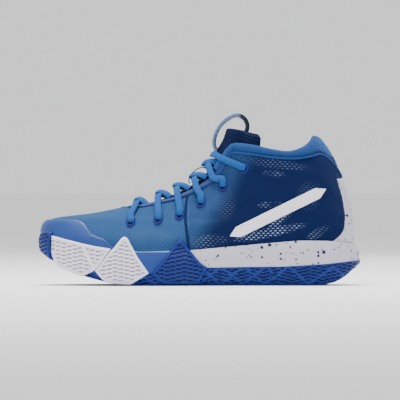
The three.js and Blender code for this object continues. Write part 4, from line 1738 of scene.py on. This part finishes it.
    def panel(self, shape: PanelShape, side: Side) -> None:
        """A rubber panel with a plain rim round its grooves.

        Args:
            shape: the panel's outline and ridges.
            side: which side of the shoe.
        """
        x = spread(shape.high[0][0], shape.high[-1][0], 120)
        low, high = line_at(shape.low, x, 1.0), line_at(shape.high, x, 1.0)
        high = np.maximum(high, low + 0.05)
        v = spread(0, 1, 90)[:, None]
        z = low * (1 - v) + high * v
        outline = np.vstack([np.column_stack([x, low]), np.column_stack([x, high])])
        x = x + 0 * z
        edge, cut = edge_distance(x, z, outline), herringbone(x, z)
        for (x0, z0), (x1, z1) in shape.ridges:
            s = np.clip((z - z0) / (z1 - z0), 0, 1)
            away = np.abs(x - (x0 + (x1 - x0) * s)) * 0.9
            cut = cut * smooth(1.4, 2.2, away)
            edge = np.minimum(edge, 1.2 + away)
        cut = cut * smooth(2.6, 3.4, edge)
        points = side_skin(x, z, side.value, self.pillow(edge, cut))
        piece = grid_piece(f"{shape.name}_rubber_{side.label}", points, relief=self.shadow(edge, cut),
                           smooth_angle=60)
        thicken(piece, self.panel_wall)
        material = self.finishes.white_rubber if shape.slot == "white_rubber" else self.finishes.blue_rubber
        dress(piece, material, shape.slot, f"{shape.name}_{side.label}")

    def toe_bumper(self) -> None:
        """The blue rubber that wraps the tip of the toe."""
        reach = float(SOLE.turn_of(self.bumper_end))
        turn = spread(-reach, reach, 150)
        low = line_at(GROUND_LINE, SOLE.x_at(np.abs(turn))) + 0.6
        high = np.interp(np.abs(turn) / reach, (0, 0.7, 1), (52.6, 52.0, 49.6))
        v = spread(0, 1, 90)[:, None]
        z = low * (1 - v) + high * v
        plan = np.diff(SOLE.wall(turn, -1.0, low, 0.0)[:, :2], axis=0)
        arc = np.concatenate([[0], np.cumsum(np.linalg.norm(plan, axis=1))])
        ends = [np.column_stack([np.full(60, arc[i]), spread(low[i], high[i], 60)]) for i in (0, -1)]
        outline = np.vstack([np.column_stack([arc, low]), np.column_stack([arc, high]), *ends])
        across = arc + 0 * z
        edge = edge_distance(across, z, outline)
        cut = herringbone(across, z) * smooth(2.6, 3.4, edge)
        rise = np.minimum(self.pillow(edge, cut) + self.bumper_rise * v, 5.0)
        piece = grid_piece("toe_bumper_rubber", SOLE.wall(turn, -1.0, z, rise),
                           relief=self.shadow(edge, cut), smooth_angle=60)
        thicken(piece, self.panel_wall)
        dress(piece, self.finishes.blue_rubber, "blue_rubber", "toe_bumper")


@dataclass
class Overlays:
    """The fused toe cap, the heel counter and the plain side marks."""

    finishes: Finishes
    film: float = 1.0
    film_wall: float = 0.8
    toe_turn: float = 0.335
    toe_line: Line = ((-150, 61), (-140, 61.4), (-127, 61.5), (-114, 61.4), (-109.5, 60.2), (-106.2, 57),
                      (-104, 52.4), (-101, 48.4), (-95, 45.7), (-89, 43.8), (-84.5, 40.6), (-80, 35.5))
    counter_low: float = 0.03
    counter_top: float = 0.755
    counter_thick: float = 1.9
    counter_wall: float = 1.0
    counter_line: Line = ((36, 112), (39, 121), (42, 128), (47, 134), (54, 137.5), (66, 138), (80, 135.4),
                          (100, 130.4))
    mark_ends: Line = ((29, 46), (120, 90.5))
    mark_half: float = 5.4
    mark_point: float = 9.0
    mark_wall: float = 0.5

    def build(self) -> None:
        """Makes and dresses the overlays."""
        self.toe_cap()
        self.heel_counter()
        for side in Side:
            self.side_mark(side)

    def toe_cap(self) -> None:
        """The smooth film round the toe, with its stepped upper edge."""
        turn = spread(-self.toe_turn, self.toe_turn, 180)
        side = np.full_like(turn, -1.0)

        def over(t: Array) -> Array:
            """Whether the form has come above the film's edge at this height."""
            p = LAST.point(t, turn, side)
            return p[:, 2] > line_at(self.toe_line, p[:, 0], 1.5)

        top = np.maximum(bisect(np.zeros_like(turn), np.full_like(turn, 0.45), over)[0], 0.02)
        v = spread(0, 1, 60)[:, None]
        t = 0.01 + (top - 0.01) * v
        lift = -0.3 + (self.film + 0.5) * shoulder((1 - v) * top * 130, 1.6)
        piece = grid_piece("toe_cap_film", LAST.off(t, turn, -1.0, lift))
        thicken(piece, self.film_wall)
        dress(piece, self.finishes.film, "film", "toe_cap")

    def heel_counter(self) -> None:
        """The white moulded clip up the back of the heel."""
        t = spread(self.counter_low, self.counter_top, 110)
        z_back = LAST.point(t, np.full_like(t, 0.97), np.full_like(t, -1.0))[:, 2]
        edge = LAST.turn_at(t, line_at(self.counter_line, z_back, 3.0))[:, None]
        t = t[:, None]
        c = spread(-1, 1, 90)
        turn = 1 + (1 - edge) * c
        gap = np.minimum((1 - np.abs(c)) * (1 - edge) * 240, (self.counter_top - t) * 90)
        lift = -0.3 + self.counter_thick * shoulder(gap, 1.8)
        piece = grid_piece("heel_counter_clip", LAST.off(t, turn, -1.0, lift))
        thicken(piece, self.counter_wall)
        dress(piece, self.finishes.counter, "counter", "heel_counter")

    def side_mark(self, side: Side) -> None:
        """A plain white bar with pointed ends.

        Args:
            side: which side of the shoe.
        """
        start, stop = (Vector(end) for end in self.mark_ends)
        length = (stop - start).length
        along = (stop - start) / length
        u = spread(0, 1, 140)[None, :]
        v = spread(-1, 1, 26)[:, None]
        to_end = np.minimum(u, 1 - u) * length
        wide = self.mark_half * np.minimum(1, to_end / self.mark_point)
        x = start.x + along.x * u * length - along.y * wide * v
        z = start.y + along.y * u * length + along.x * wide * v
        lift = 0.1 + 0.9 * shoulder(np.minimum((1 - np.abs(v)) * wide, to_end), 1.0)
        piece = grid_piece(f"side_bar_{side.label}", LAST.on_side(x, z, side.value, lift))
        thicken(piece, self.mark_wall)
        dress(piece, self.finishes.mark, "mark", f"side_mark_{side.label}")


# ---------------------------------------------------------------- the studio


@dataclass(frozen=True)
class Lamp:
    """A square soft light: its place, its size in metres and its power in watts."""

    name: str
    place: tuple[float, float, float]
    size: float
    power: float


LAMPS = (
    Lamp("key", (-0.7, -1.3, 1.5), 0.9, 14),
    Lamp("fill", (1.3, -1.2, 0.8), 1.0, 3),
    Lamp("top", (-0.05, 0.10, 1.5), 0.7, 38),
    Lamp("back", (0.5, 1.5, 1.1), 1.0, 8),
)


@dataclass
class Studio:
    """The camera, the pale floor and the soft lights, in metres."""

    distance: float = 5.0
    aim: tuple[float, float, float] = (0.0012, 0.0, 0.0800)
    raise_camera: float = 0.02
    frame_width: float = 0.376
    near_side: float = 0.035
    sensor: float = 36.0
    floor_size: float = 60.0
    floor_drop: float = 0.0004
    floor_color: Color = (0.93, 0.93, 0.93)
    sky_color: Color = (0.97, 0.98, 1.0)
    sky: float = 1.05
    lamp_aim: tuple[float, float, float] = (0, 0, 0.06)

    def build(self) -> None:
        """Sets up the scene round the shoe."""
        self.camera()
        self.floor()
        self.lights()

    def place(self, thing: bpy.types.Object, place: Sequence[float], aim: Sequence[float]) -> None:
        """Adds a camera or a light to the scene and points it.

        Args:
            thing: the camera or light.
            place: where it stands.
            aim: the point it looks at.
        """
        bpy.context.collection.objects.link(thing)
        thing.location = place
        thing.rotation_euler = (Vector(aim) - thing.location).to_track_quat("-Z", "Y").to_euler()

    def camera(self) -> None:
        """A long lens, level with the shoe."""
        data = bpy.data.cameras.new("camera")
        data.sensor_width = self.sensor
        data.lens = self.sensor * (self.distance - self.near_side) / self.frame_width
        camera = bpy.data.objects.new("camera", data)
        self.place(camera, (self.aim[0], -self.distance, self.aim[2] + self.raise_camera), self.aim)
        bpy.context.scene.camera = camera

    def floor(self) -> None:
        """A plain pale floor."""
        deselect()
        bpy.ops.mesh.primitive_plane_add(size=self.floor_size, location=(0, 0, -self.floor_drop))
        floor = bpy.context.object
        floor.name = "floor"
        material = Nodes("pale_floor").finish(self.floor_color, 0.8, Specular_IOR_Level=0.1)
        floor.data.materials.append(material)

    def lights(self) -> None:
        """A broad top light, a key from the front left and weak fills, under a pale sky."""
        world = bpy.data.worlds.new("studio")
        bpy.context.scene.world = world
        world.use_nodes = True
        sky = world.node_tree.nodes["Background"]
        sky.inputs["Color"].default_value = (*self.sky_color, 1)
        sky.inputs["Strength"].default_value = self.sky
        for lamp in LAMPS:
            data = bpy.data.lights.new(lamp.name, "AREA")
            data.size, data.energy = lamp.size, lamp.power
            self.place(bpy.data.objects.new(lamp.name, data), lamp.place, self.lamp_aim)


def dress_hidden(finishes: Finishes) -> None:
    """Gives the CAD pieces that stay inside the shoe their finishes.

    Args:
        finishes: the shoe's materials.
    """
    hidden = {
        "strobel_board": finishes.board,
        "heel_cushion": finishes.cushion,
        "shank_plate": finishes.shank,
    }
    for node, material in hidden.items():
        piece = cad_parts[node]
        if not piece.material_slots:
            piece.data.materials.append(material)
        for slot in piece.material_slots:
            slot.material = material


def main() -> None:
    """Builds the studio and the shoe."""
    logging.basicConfig(level=logging.INFO, format="%(message)s")
    Studio().build()
    finishes = Finishes()
    for part in (KnitUpper, Collar, Tongue, Throat, Sole, Overlays):
        part(finishes).build()
        log.info("%s is done", part.__name__)
    dress_hidden(finishes)


if __name__ == "__main__":
    main()
